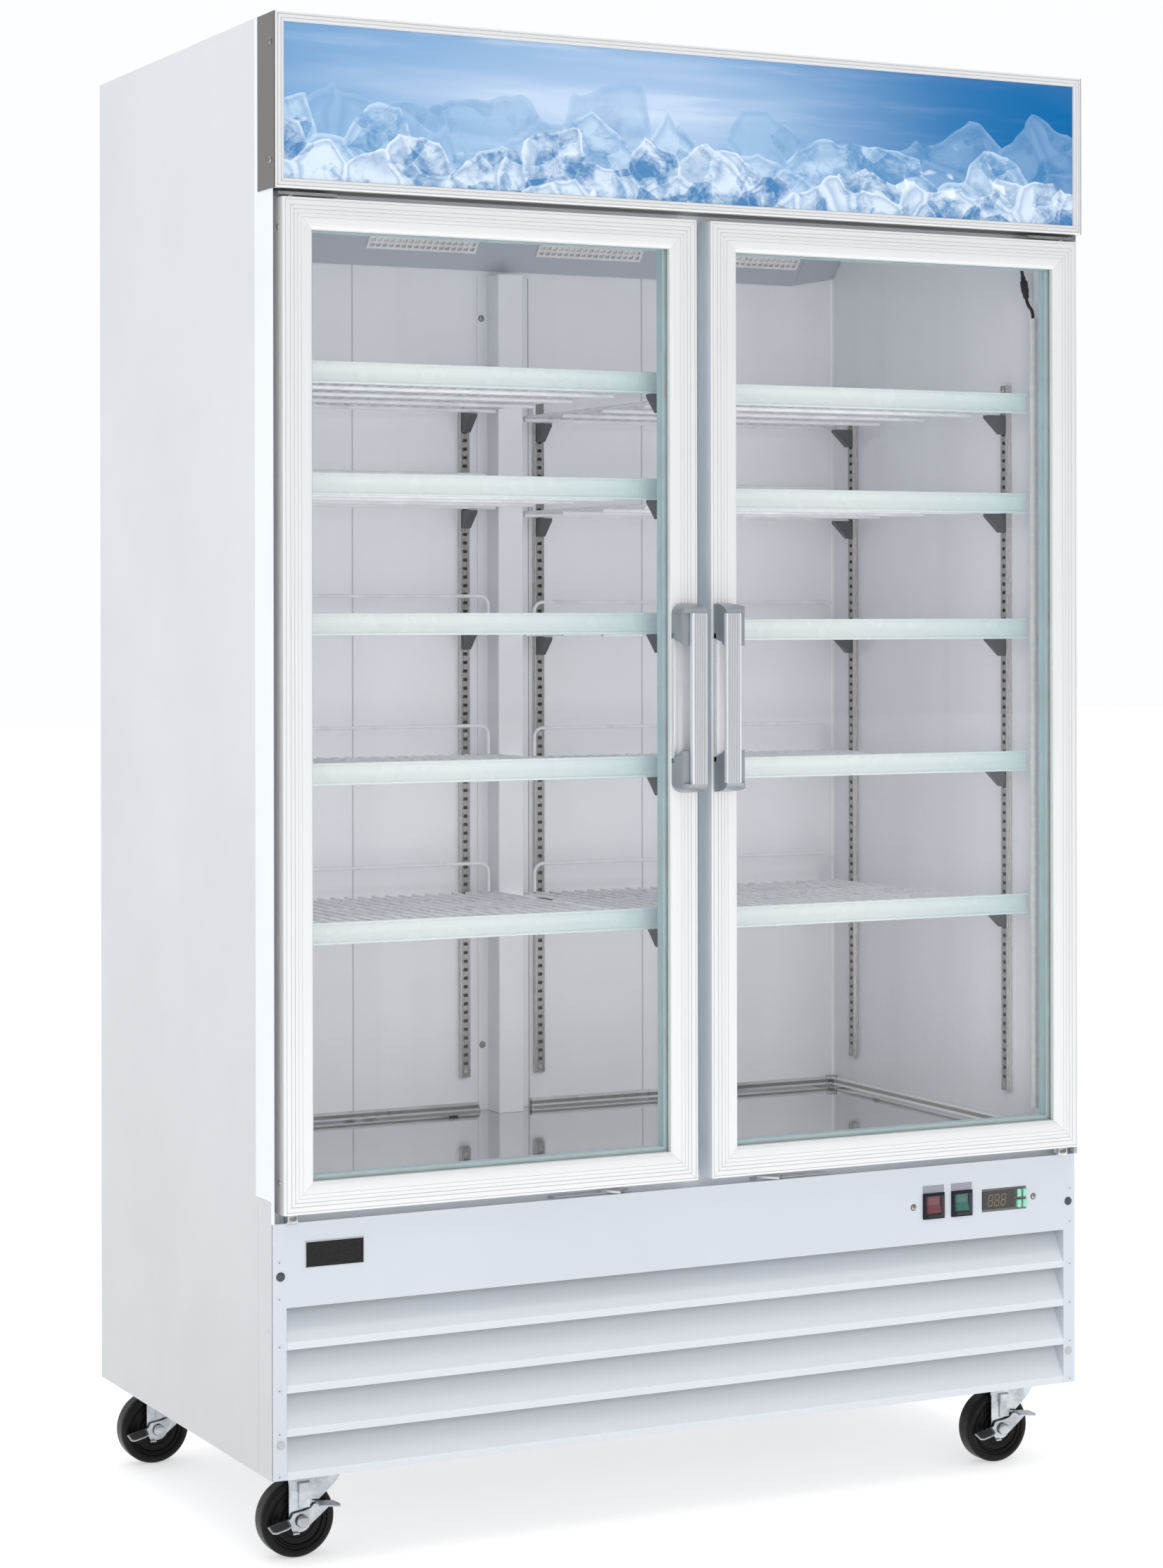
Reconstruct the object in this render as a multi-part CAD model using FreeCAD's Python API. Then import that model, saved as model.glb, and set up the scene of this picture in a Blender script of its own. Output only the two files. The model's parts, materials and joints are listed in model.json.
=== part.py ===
"""Two-door glass merchandiser on swivel casters: an upright display cooler, built piece by piece.

Frame: +X to the right when facing the doors, +Y to the back, +Z up, in millimetres.
The origin lies on the floor, under the centre of the bounding box.
"""
import FreeCAD, Part
import math
import os

from FreeCAD import Vector

# ---------------------------------------------------------------- driving dimensions
HALF_WIDTH = 610.0            # half of the cabinet's width over its side panels
CABINET_HEIGHT = 1960.0       # floor to roof
CABINET_BOTTOM = 114.0        # floor to the underside of the cabinet, which is the caster's height
CABINET_DEPTH = 660.0         # face of the lower panel to the back skin
HANDLE_STANDOUT = 56.0        # how far the handles stand in front of the lower panel
TOTAL_DEPTH = CABINET_DEPTH + HANDLE_STANDOUT

PANEL_Y = HANDLE_STANDOUT - TOTAL_DEPTH / 2   # face of the lower front panel
BACK_Y = TOTAL_DEPTH / 2                      # outer face of the back skin

SKIN = 1.2                    # outer sheet steel
LINER = 1.0                   # inner sheet

INNER_HALF_WIDTH = 580.0      # liner face to the middle of the cabinet
INNER_BACK_Y = PANEL_Y + 612.0
INNER_FLOOR_Z = 462.0
INNER_TOP_Z = 1890.0
DECK_Z = 405.0                # ceiling of the machine compartment

FRAME_FACE_Y = PANEL_Y + 27.0     # front of the cabinet's door frame, where the gaskets land
FRAME_BACK_Y = PANEL_Y + 42.0
SIDE_FLANGE_Y = PANEL_Y - 7.0     # front edge of the side flanges beside the doors
SIDE_SEAM_Y = PANEL_Y + 54.0
SILL_TOP_Z = 473.0
HEADER_BOTTOM_Z = 1704.0
JAMB_X = 572.0                # half width of the door opening
MULLION_HALF_WIDTH = 33.0

SIGN_BOTTOM_Z = 1738.0
SIGN_TOP_Z = 1959.0
SIGN_FACE_Y = PANEL_Y - 18.0
SIGN_BACK_Y = PANEL_Y + 40.0
SIGN_BAR = 12.5

DOOR_OUTER_X = 601.0          # hinge edge of each door
DOOR_FREE_X = 10.5            # free edge of each door
DOOR_BOTTOM_Z = 450.0
DOOR_TOP_Z = 1727.0
DOOR_FACE_Y = PANEL_Y - 21.0
DOOR_BACK_Y = PANEL_Y + 14.0
DOOR_BAR = 42.0               # width of the door's frame section
GLASS_FRONT_Y = DOOR_FACE_Y + 10.0
GLASS_THICKNESS = 20.0        # sealed double-glazed unit
GLASS_GRIP = 8.0              # how deep the unit sits in the frame
PANE = 4.0
GASKET_INSET = 8.0
GASKET_HINGE_INSET = 17.5
GASKET_WIDTH = 12.0
GASKET_GAP = 0.4              # between the gasket and the cabinet's frame

HINGE_X = 584.0
HINGE_Y = PANEL_Y - 4.0
HINGE_PIN_RADIUS = 4.0
HINGE_BUSH_RADIUS = 6.5
HINGE_CRANK = 12.0            # from the lower pin back to its bush, behind the lower panel
RUNNING_FIT = 0.08

TUBE_X = JAMB_X - 6.5         # light tube beside each outer jamb
TUBE_Y = PANEL_Y + 36.0
TUBE_TOP_Z = 1622.0
TUBE_BOTTOM_Z = 500.0

HANDLE_BOTTOM_Z = 966.0
HANDLE_TOP_Z = 1217.0
GRIP_BOTTOM_Z = 978.0
GRIP_TOP_Z = 1204.0
HANDLE_INNER_X = 14.5         # handle edge nearest the middle of the cabinet
HANDLE_OUTER_X = 50.0
GRIP_OUTER_X = 37.0
HANDLE_END_LENGTH = 48.0
HANDLE_PLATE = 2.0
GRIP_THICKNESS = 9.0

SHELF_LEVELS_LEFT = (1509.0, 1366.0, 1186.0, 994.0, 790.0)
SHELF_LEVELS_RIGHT = (1497.0, 1355.0, 1177.0, 989.0, 786.0)
SHELF_OUTER_X = 566.0
SHELF_INNER_X = 24.0
SHELF_FRONT_Y = PANEL_Y + 62.0
SHELF_BACK_Y = PANEL_Y + 586.0
SHELF_WIRE_RADIUS = 2.0
SHELF_ROD_RADIUS = 3.0
SHELF_WIRE_COUNT = 26
SHELF_ROD_COUNT = 5
SHELF_RAIL_HEIGHT = 44.0

STANDARD_WIDTH = 16.0         # slotted pilasters that carry the shelf clips
STANDARD_DEPTH = 9.0
STANDARD_BOTTOM_Z = 514.0
STANDARD_TOP_Z = 1532.0
STANDARD_SLOT_PITCH = 12.7
STANDARD_BACK_X = (-62.0, 61.5)
STANDARD_SIDE_Y = (PANEL_Y + 120.0, PANEL_Y + 543.0)
STANDARD_MULLION_X = 18.0

STRIP_TOP_RISE = 19.0         # price strip above the wire deck
STRIP_HEIGHT = 29.0
STRIP_OUTER_X = 560.0
STRIP_INNER_X = 34.0

PANEL_TOP_Z = 437.0
PANEL_HALF_WIDTH = 608.5
STILE_INNER_X = 590.0
PANEL_FLAT_BOTTOM_Z = 330.5
LOUVRE_PITCH = 54.6
LOUVRE_COUNT = 4
LOUVRE_LIP = 9.0
LOUVRE_DEPTH = 24.0

CONTROL_MIDDLE_Z = 382.0
BEZEL_HEIGHT = 36.0
CONTROLLER_X = (450.5, 528.5)
DISPLAY_X = (453.4, 506.2)
DISPLAY_HALF_HEIGHT = 12.4
BUTTON_MIDDLES_X = (512.9, 522.6)
BUTTON_MIDDLE_RISE = 7.4      # from the middle of the case to each row of buttons
BUTTON_HALF_WIDTH = 3.3
BUTTON_HALF_HEIGHT = 5.3
POWER_SWITCH_X = (355.0, 389.5)
LIGHT_SWITCH_X = (401.5, 435.5)

CASTER_X = 533.0
CASTER_FRONT_Y = PANEL_Y + 62.0
CASTER_REAR_Y = PANEL_Y + 600.0
WHEEL_RADIUS = 50.0
WHEEL_WIDTH = 30.0
AXLE_RADIUS = 5.0
CASTER_TRAIL = 22.0
FORK_TOP_Z = 107.0
FORK_SHEET = 3.0
FORK_HALF_GAP = 18.5


# ---------------------------------------------------------------- helpers
def block(x0, x1, y0, y1, z0, z1):
    """A box between two corners."""
    return Part.makeBox(x1 - x0, y1 - y0, z1 - z0, Vector(x0, y0, z0))


def rod(radius, start, end):
    """A round bar between two points."""
    axis = end - start
    return Part.makeCylinder(radius, axis.Length, start, axis)


def polygon_prism(points, sweep):
    """A closed polygon swept along a vector."""
    return Part.Face(Part.makePolygon(points + points[:1])).extrude(sweep)


def prism_along_x(profile, x0, x1):
    """A profile of (y, z) points, swept from x0 to x1."""
    return polygon_prism([Vector(x0, y, z) for y, z in profile], Vector(x1 - x0, 0, 0))


def prism_along_y(profile, y0, y1):
    """A profile of (x, z) points, swept from y0 to y1."""
    return polygon_prism([Vector(x, y0, z) for x, z in profile], Vector(0, y1 - y0, 0))


def prism_along_z(profile, z0, z1):
    """A profile of (x, y) points, swept from z0 to z1."""
    return polygon_prism([Vector(x, y, z0) for x, y in profile], Vector(0, 0, z1 - z0))


def mirror_x(shape):
    """The shape's mirror image on the other side of the cabinet."""
    return shape.mirror(Vector(0, 0, 0), Vector(1, 0, 0))


def both_sides(solids):
    """The solids and their mirror images."""
    return solids + [mirror_x(solid) for solid in solids]


def picture_frame(x0, x1, z0, z1, bar, y0, y1):
    """Four bars with mitred corners around a rectangle: bottom, right, top, left."""
    outer = [(x0, z0), (x1, z0), (x1, z1), (x0, z1)]
    inner = [(x0 + bar, z0 + bar), (x1 - bar, z0 + bar), (x1 - bar, z1 - bar), (x0 + bar, z1 - bar)]
    bars = []
    for i in range(4):
        j = (i + 1) % 4
        bars.append(prism_along_y([outer[i], outer[j], inner[j], inner[i]], y0, y1))
    return bars


def save(name, solids):
    """Writes one sub-part as a STEP file."""
    shape = solids[0] if len(solids) == 1 else Part.makeCompound(solids)
    shape.exportStep("parts/" + name + ".step")


# ---------------------------------------------------------------- cabinet
def base_pan():
    """Floor sheet of the machine compartment, with stiffening channels under the side panels."""
    pan = block(-HALF_WIDTH + SKIN, HALF_WIDTH - SKIN, PANEL_Y + 2.0, BACK_Y - SKIN,
                CABINET_BOTTOM, CABINET_BOTTOM + 3.0)
    rail = block(-HALF_WIDTH + SKIN, -HALF_WIDTH + 31.0, PANEL_Y + 62.0, BACK_Y - SKIN,
                 CABINET_BOTTOM + 3.0, CABINET_BOTTOM + 6.0)
    return [pan] + both_sides([rail])


def side_panels():
    """Outer side skins, with a separate cover plate at the bottom front of each."""
    cover_top = 465.0
    cover_back = PANEL_Y + 46.0
    gap = 0.4
    profile = [
        (cover_back + gap, CABINET_BOTTOM), (BACK_Y, CABINET_BOTTOM), (BACK_Y, CABINET_HEIGHT - SKIN),
        (SIDE_SEAM_Y + gap, CABINET_HEIGHT - SKIN), (SIDE_SEAM_Y + gap, cover_top),
        (cover_back + gap, cover_top),
    ]
    skin = prism_along_x(profile, -HALF_WIDTH, -HALF_WIDTH + SKIN)
    cover = block(-HALF_WIDTH, -HALF_WIDTH + SKIN, PANEL_Y + 1.6, cover_back, CABINET_BOTTOM, cover_top - gap)
    return both_sides([skin, cover])


def back_panel():
    """Back skin above, vented cover over the machine compartment below, and the inlet gland."""
    x = HALF_WIDTH - SKIN
    seam_z = 400.0
    upper = block(-x, x, BACK_Y - SKIN, BACK_Y, seam_z + 1.0, CABINET_HEIGHT - SKIN)
    lower = block(-x, x, BACK_Y - SKIN, BACK_Y, CABINET_BOTTOM, seam_z)
    slot_rows = 7
    slot_columns = 8
    for row in range(slot_rows):
        for column in range(slot_columns):
            slot_x = -420.0 + column * 100.0
            slot_z = 180.0 + row * 24.0
            lower = lower.cut(block(slot_x, slot_x + 70.0, BACK_Y - 5.0, BACK_Y + 5.0, slot_z, slot_z + 8.0))
    gland_at = Vector(470.0, BACK_Y - 14.0, 190.0)
    gland_end = Vector(470.0, BACK_Y, 190.0)
    lower = lower.cut(rod(9.0, gland_at, Vector(470.0, BACK_Y + 5.0, 190.0)))
    gland = rod(9.0, gland_at, gland_end)
    gland = gland.cut(rod(4.5, Vector(470.0, BACK_Y - 10.0, 190.0), Vector(470.0, BACK_Y + 1.0, 190.0)))
    return [upper, lower, gland]


def roof_panel():
    """Roof skin, laid over the sides and the back."""
    return [block(-HALF_WIDTH, HALF_WIDTH, PANEL_Y + 40.0, BACK_Y, CABINET_HEIGHT - SKIN, CABINET_HEIGHT)]


def foam_insulation():
    """Rigid foam slabs between the outer skins and the liner."""
    outer_x = HALF_WIDTH - SKIN
    liner_x = INNER_HALF_WIDTH + LINER
    front = FRAME_BACK_Y + 3.0
    liner_back = INNER_BACK_Y + LINER
    floor_under = INNER_FLOOR_Z - 1.2
    side = block(-outer_x, -liner_x, front, BACK_Y - SKIN, DECK_Z + SKIN, CABINET_HEIGHT - SKIN)
    back = block(-liner_x, liner_x, liner_back, BACK_Y - SKIN, floor_under, INNER_TOP_Z + LINER)
    top = block(-liner_x, liner_x, front, BACK_Y - SKIN, INNER_TOP_Z + LINER, CABINET_HEIGHT - SKIN)
    floor = block(-liner_x, liner_x, front, BACK_Y - SKIN, DECK_Z + SKIN, floor_under)
    return both_sides([side]) + [back, top, floor]


def inner_liner():
    """Sheets that line the display space, and the deck over the machine compartment."""
    x = INNER_HALF_WIDTH
    front = FRAME_BACK_Y + 1.5
    side = block(-x - LINER, -x, front, INNER_BACK_Y + LINER, INNER_FLOOR_Z, INNER_TOP_Z + LINER)
    back = block(-x, x, INNER_BACK_Y, INNER_BACK_Y + LINER, INNER_FLOOR_Z, INNER_TOP_Z)
    top = block(-x, x, front, INNER_BACK_Y + LINER, INNER_TOP_Z, INNER_TOP_Z + LINER)
    deck_x = HALF_WIDTH - SKIN
    deck = block(-deck_x, deck_x, front, BACK_Y - SKIN, DECK_Z, DECK_Z + SKIN)
    return both_sides([side]) + [back, top, deck]


def front_frame():
    """Steel frame around the door opening: header, sill, jambs and the side flanges."""
    x = HALF_WIDTH - SKIN
    face = FRAME_FACE_Y
    back = FRAME_FACE_Y + SKIN
    header = block(-x, x, face, back, HEADER_BOTTOM_Z, CABINET_HEIGHT - SKIN)
    header_return = block(-x, x, back, FRAME_BACK_Y, HEADER_BOTTOM_Z, HEADER_BOTTOM_Z + SKIN)
    sill = block(-x, x, face, back, DECK_Z, SILL_TOP_Z)
    sill_return = block(-x, x, back, FRAME_BACK_Y, SILL_TOP_Z - SKIN, SILL_TOP_Z)
    jamb = block(-x, -JAMB_X, face, back, SILL_TOP_Z, HEADER_BOTTOM_Z)
    jamb_return = block(-JAMB_X - SKIN, -JAMB_X, back, FRAME_BACK_Y, SILL_TOP_Z, HEADER_BOTTOM_Z)
    jamb_lap = block(-INNER_HALF_WIDTH - LINER, -JAMB_X, FRAME_BACK_Y, FRAME_BACK_Y + 1.5,
                     SILL_TOP_Z, HEADER_BOTTOM_Z)
    flange_bottom = 465.0
    flange = block(-HALF_WIDTH, -x, SIDE_FLANGE_Y, SIDE_SEAM_Y, flange_bottom, SIGN_BOTTOM_Z)
    tongue = block(-HALF_WIDTH, -x, SIDE_FLANGE_Y, PANEL_Y + 1.3, PANEL_TOP_Z + 0.6, flange_bottom)
    flange = flange.fuse(tongue).removeSplitter()
    upper_side = block(-HALF_WIDTH, -HALF_WIDTH + SKIN, SIGN_BACK_Y + 0.4, SIDE_SEAM_Y,
                       SIGN_BOTTOM_Z, CABINET_HEIGHT - SKIN)
    middle = [header, header_return, sill, sill_return]
    return middle + both_sides([jamb, jamb_return, jamb_lap, flange, upper_side])


def mullion():
    """Centre post between the doors: a folded steel face, two returns and a screw at each end."""
    half = MULLION_HALF_WIDTH
    face = block(-half, half, FRAME_FACE_Y, FRAME_FACE_Y + SKIN, SILL_TOP_Z, HEADER_BOTTOM_Z)
    back = block(-half, half, FRAME_BACK_Y - SKIN, FRAME_BACK_Y, SILL_TOP_Z, HEADER_BOTTOM_Z)
    side = block(-half, -half + SKIN, FRAME_FACE_Y + SKIN, FRAME_BACK_Y - SKIN, SILL_TOP_Z, HEADER_BOTTOM_Z)
    screws = []
    for z in (SILL_TOP_Z + 14.0, HEADER_BOTTOM_Z - 14.0):
        screws.append(rod(4.5, Vector(2.0, FRAME_FACE_Y - 2.5, z), Vector(2.0, FRAME_FACE_Y, z)))
    return [face, back] + both_sides([side]) + screws


def floor_pan():
    """Stainless floor sheet and the coved trims along the walls."""
    x = INNER_HALF_WIDTH - 0.5
    front = FRAME_BACK_Y + 2.0
    back = INNER_BACK_Y - 0.5
    cove = 13.0
    foot = 2.5
    z = INNER_FLOOR_Z
    sheet = block(-x, x, front, back, z - 1.2, z)
    column_left = 40.0
    column_right = 48.0
    back_profile = [
        (back, z), (back, z + cove), (back - foot, z + cove), (back - cove, z + foot), (back - cove, z),
    ]
    back_trims = [prism_along_x(back_profile, -x + cove, -column_left),
                  prism_along_x(back_profile, column_right, x - cove)]
    side_profile = [(-x, z), (-x, z + cove), (-x + foot, z + cove), (-x + cove, z + foot), (-x + cove, z)]
    side_trim = prism_along_y(side_profile, front, back - cove)
    corner = block(-x, -x + cove, back - cove, back, z, z + cove + 1.5)
    return [sheet] + back_trims + both_sides([side_trim, corner])


def rear_column():
    """Hat-shaped duct cover up the middle of the back wall, with its fixing screws."""
    front = PANEL_Y + 570.0
    wall = INNER_BACK_Y - 0.3
    sheet = 1.2
    left = -22.5
    right = 18.0
    flange_left = -38.0
    flange_right = 46.0
    hat = [
        (flange_left, wall), (flange_left, wall - sheet), (left, wall - sheet), (left, front),
        (right, front), (right, wall - sheet), (flange_right, wall - sheet), (flange_right, wall),
        (right - sheet, wall), (right - sheet, front + sheet), (left + sheet, front + sheet),
        (left + sheet, wall),
    ]
    bottom = INNER_FLOOR_Z + 0.3
    top = 1708.0
    cover = prism_along_z(hat, bottom, top)
    screws = []
    for z in (560.0, 1178.0, 1645.0):
        screws.append(rod(4.0, Vector(-31.5, wall - sheet - 2.5, z), Vector(-31.5, wall - sheet, z)))
    return [cover] + screws


def slotted_standard():
    """One pilaster standing on the origin: a shallow bar with a column of clip slots in its face (-Y)."""
    length = STANDARD_TOP_Z - STANDARD_BOTTOM_Z
    half = STANDARD_WIDTH / 2
    bar = block(-half, half, 0.0, STANDARD_DEPTH, 0.0, length)
    end_margin = 18.0
    slot_height = 4.8
    slot_count = int((length - 2 * end_margin) // STANDARD_SLOT_PITCH)
    slots = []
    for i in range(slot_count):
        z = end_margin + i * STANDARD_SLOT_PITCH
        slots.append(block(-3.4, 3.4, -1.0, STANDARD_DEPTH - 2.0, z, z + slot_height))
    return bar.cut(Part.makeCompound(slots))


def shelf_standards():
    """Slotted pilasters: two near the middle of the back wall, two on each side wall, two on the mullion."""
    bar = slotted_standard()
    stand_off = STANDARD_DEPTH + 0.3
    bottom = STANDARD_BOTTOM_Z
    solids = []
    for x in STANDARD_BACK_X:
        solids.append(bar.translated(Vector(x, INNER_BACK_Y - stand_off, bottom)))
    for y in STANDARD_SIDE_Y:
        for side in (-1, 1):
            turned = bar.rotated(Vector(0, 0, 0), Vector(0, 0, 1), -90.0 * side)
            solids.append(turned.translated(Vector(side * (INNER_HALF_WIDTH - stand_off), y, bottom)))
    turned = bar.rotated(Vector(0, 0, 0), Vector(0, 0, 1), 180.0)
    for x in (-STANDARD_MULLION_X, STANDARD_MULLION_X):
        solids.append(turned.translated(Vector(x, FRAME_BACK_Y + stand_off, bottom)))
    return solids


def shelf_clip():
    """One shelf clip: a triangular bracket, its top at the origin, reaching along +Y from a standard."""
    profile = [(0.0, 0.0), (30.0, 0.0), (30.0, -4.0), (6.0, -27.0), (0.0, -27.0)]
    return prism_along_x(profile, -6.0, 6.0)


def shelf_clips():
    """Four clips under each shelf."""
    clip = shelf_clip()
    drop = SHELF_ROD_RADIUS * 2 + SHELF_WIRE_RADIUS + 0.3
    side_x = INNER_HALF_WIDTH - STANDARD_DEPTH - 0.6
    back_y = INNER_BACK_Y - STANDARD_DEPTH - 0.6
    front_y = FRAME_BACK_Y + STANDARD_DEPTH + 0.8
    solids = []
    for side, levels in ((-1, SHELF_LEVELS_LEFT), (1, SHELF_LEVELS_RIGHT)):
        back_x = STANDARD_BACK_X[0] if side < 0 else STANDARD_BACK_X[1]
        for level in levels:
            z = level - drop
            for y in STANDARD_SIDE_Y:
                turned = clip.rotated(Vector(0, 0, 0), Vector(0, 0, 1), 90.0 * side)
                solids.append(turned.translated(Vector(side * side_x, y, z)))
            turned = clip.rotated(Vector(0, 0, 0), Vector(0, 0, 1), 180.0)
            solids.append(turned.translated(Vector(back_x, back_y, z)))
            solids.append(clip.translated(Vector(side * 27.0, front_y, z)))
    return solids


def shelf_rack():
    """One right-hand wire rack at height zero: lengthwise wires fused onto cross rods."""
    x0 = SHELF_INNER_X + 2.5
    x1 = SHELF_OUTER_X - 2.5
    wires = []
    for i in range(SHELF_WIRE_COUNT):
        x = x0 + (x1 - x0) * i / (SHELF_WIRE_COUNT - 1)
        wires.append(rod(SHELF_WIRE_RADIUS, Vector(x, SHELF_FRONT_Y, 0.0), Vector(x, SHELF_BACK_Y, 0.0)))
    drop = SHELF_WIRE_RADIUS + SHELF_ROD_RADIUS - 0.8
    margin = 8.0
    for i in range(SHELF_ROD_COUNT):
        y = SHELF_FRONT_Y + margin + (SHELF_BACK_Y - SHELF_FRONT_Y - 2 * margin) * i / (SHELF_ROD_COUNT - 1)
        wires.append(rod(SHELF_ROD_RADIUS, Vector(SHELF_INNER_X, y, -drop), Vector(SHELF_OUTER_X, y, -drop)))
    return wires[0].multiFuse(wires[1:])


def shelf_rail():
    """The raised wire at the back of a right-hand rack: two feet, two bends and a straight rail."""
    bend = 14.0
    radius = 2.5
    y = SHELF_BACK_Y - 12.0
    x0 = SHELF_INNER_X + 14.0
    x1 = SHELF_OUTER_X - 10.0
    foot_z = SHELF_WIRE_RADIUS + 0.05
    top = SHELF_RAIL_HEIGHT
    corner = bend * (1 - math.cos(math.pi / 4))
    edges = [
        Part.makeLine(Vector(x0, y, foot_z), Vector(x0, y, top - bend)),
        Part.Arc(Vector(x0, y, top - bend), Vector(x0 + corner, y, top - corner),
                 Vector(x0 + bend, y, top)).toShape(),
        Part.makeLine(Vector(x0 + bend, y, top), Vector(x1 - bend, y, top)),
        Part.Arc(Vector(x1 - bend, y, top), Vector(x1 - corner, y, top - corner),
                 Vector(x1, y, top - bend)).toShape(),
        Part.makeLine(Vector(x1, y, top - bend), Vector(x1, y, foot_z)),
    ]
    path = Part.Wire(edges)
    circle = Part.Wire([Part.makeCircle(radius, Vector(x0, y, foot_z), Vector(0, 0, 1))])
    return path.makePipeShell([circle], True, True)


def shelves(levels, side, rack, rail):
    """The five racks of one side, each with its back rail."""
    solids = []
    for level in levels:
        for piece in (rack, rail):
            placed = piece.translated(Vector(0, 0, level))
            solids.append(placed if side > 0 else mirror_x(placed))
    return solids


def price_strips():
    """Concave strips clipped to the front of every rack."""
    solids = []
    front = SHELF_FRONT_Y - 19.0
    for side, levels in ((-1, SHELF_LEVELS_LEFT), (1, SHELF_LEVELS_RIGHT)):
        for level in levels:
            top = level + STRIP_TOP_RISE
            bottom = top - STRIP_HEIGHT
            face = [(front, top), (front + 5.0, top - STRIP_HEIGHT / 2), (front, bottom)]
            inside = [(front + 2.0, bottom), (front + 7.0, top - STRIP_HEIGHT / 2), (front + 2.0, top)]
            strip = prism_along_x(face + inside, STRIP_INNER_X, STRIP_OUTER_X)
            hook_back = SHELF_FRONT_Y - 0.4
            hook = block(STRIP_INNER_X, STRIP_OUTER_X, front + 4.0, hook_back, level - 1.0, level + 1.0)
            hollow = [(front - 5.0, bottom), (front + 7.0, top - STRIP_HEIGHT / 2), (front - 5.0, top)]
            hook = hook.cut(prism_along_x(hollow, STRIP_INNER_X - 1.0, STRIP_OUTER_X + 1.0))
            solid = strip.fuse(hook)
            solids.append(solid if side > 0 else mirror_x(solid))
    return solids


# ---------------------------------------------------------------- sign
def sign_housing():
    """Sheet metal box around the lit sign, open to the front."""
    x = HALF_WIDTH
    side = block(-x - SKIN, -x, SIGN_FACE_Y + 1.0, SIGN_BACK_Y, SIGN_BOTTOM_Z, SIGN_TOP_Z)
    bottom = block(-x, x, SIGN_FACE_Y + 10.0, FRAME_FACE_Y, SIGN_BOTTOM_Z, SIGN_BOTTOM_Z + SKIN)
    top = block(-x, x, SIGN_FACE_Y + 10.0, FRAME_FACE_Y, SIGN_TOP_Z - SKIN, SIGN_TOP_Z)
    screws = []
    for z in (SIGN_BOTTOM_Z + 36.0, SIGN_TOP_Z - 36.0):
        y = SIGN_FACE_Y + 16.0
        screws.append(rod(3.5, Vector(-x - SKIN - 1.6, y, z), Vector(-x - SKIN, y, z)))
    return [bottom, top] + both_sides([side] + screws)


def sign_frame():
    """White mitred frame that holds the sign's face."""
    return picture_frame(-HALF_WIDTH, HALF_WIDTH, SIGN_BOTTOM_Z, SIGN_TOP_Z, SIGN_BAR,
                         SIGN_FACE_Y, SIGN_FACE_Y + 9.6)


def sign_panel():
    """Translucent sheet inside the frame."""
    margin = SIGN_BAR + 0.2
    return [block(-HALF_WIDTH + margin, HALF_WIDTH - margin, SIGN_FACE_Y + 3.0, SIGN_FACE_Y + 6.0,
                  SIGN_BOTTOM_Z + margin, SIGN_TOP_Z - margin)]


# ---------------------------------------------------------------- doors
def door_frame():
    """Right-hand door frame: four mitred aluminium sections, hollow, grooved for the glass."""
    bars = picture_frame(DOOR_FREE_X, DOOR_OUTER_X, DOOR_BOTTOM_Z, DOOR_TOP_Z, DOOR_BAR,
                         DOOR_FACE_Y, DOOR_BACK_Y)
    reach = DOOR_BAR - GLASS_GRIP
    groove = block(DOOR_FREE_X + reach, DOOR_OUTER_X - reach, GLASS_FRONT_Y - 0.2,
                   GLASS_FRONT_Y + GLASS_THICKNESS + 0.2, DOOR_BOTTOM_Z + reach, DOOR_TOP_Z - reach)
    wall = 3.0
    cavity = block(DOOR_FREE_X + wall, DOOR_OUTER_X - wall, DOOR_FACE_Y + wall, DOOR_BACK_Y - wall,
                   DOOR_BOTTOM_Z + wall, DOOR_TOP_Z - wall)
    core = block(DOOR_FREE_X + reach - wall, DOOR_OUTER_X - reach + wall, DOOR_FACE_Y, DOOR_BACK_Y,
                 DOOR_BOTTOM_Z + reach - wall, DOOR_TOP_Z - reach + wall)
    cavity = cavity.cut(core)
    pin_holes = []
    hole_radius = HINGE_PIN_RADIUS + RUNNING_FIT
    for z0, z1 in ((DOOR_BOTTOM_Z - 1.0, DOOR_BOTTOM_Z + 12.0), (DOOR_TOP_Z - 12.0, DOOR_TOP_Z + 1.0)):
        pin_holes.append(rod(hole_radius, Vector(HINGE_X, HINGE_Y, z0), Vector(HINGE_X, HINGE_Y, z1)))
    solids = []
    for bar in bars:
        hollow = bar.cut(groove).cut(cavity)
        for hole in pin_holes:
            hollow = hollow.cut(hole)
        solids.append(hollow)
    return solids


def door_glass():
    """Right-hand glazing: front pane, back pane and the spacer bar between them."""
    edge = DOOR_BAR - GLASS_GRIP + 0.5
    x0 = DOOR_FREE_X + edge
    x1 = DOOR_OUTER_X - edge
    z0 = DOOR_BOTTOM_Z + edge
    z1 = DOOR_TOP_Z - edge
    y0 = GLASS_FRONT_Y
    y1 = GLASS_FRONT_Y + GLASS_THICKNESS
    spacer_width = 14.0
    front = block(x0, x1, y0, y0 + PANE, z0, z1)
    back = block(x0, x1, y1 - PANE, y1, z0, z1)
    spacer = picture_frame(x0, x1, z0, z1, spacer_width, y0 + PANE, y1 - PANE)
    return [front, back] + spacer


def door_gasket():
    """Right-hand magnetic gasket on the back of the door frame."""
    return picture_frame(DOOR_FREE_X + GASKET_INSET, DOOR_OUTER_X - GASKET_HINGE_INSET,
                         DOOR_BOTTOM_Z + GASKET_INSET, DOOR_TOP_Z - GASKET_INSET, GASKET_WIDTH,
                         DOOR_BACK_Y, FRAME_FACE_Y - GASKET_GAP)


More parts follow.
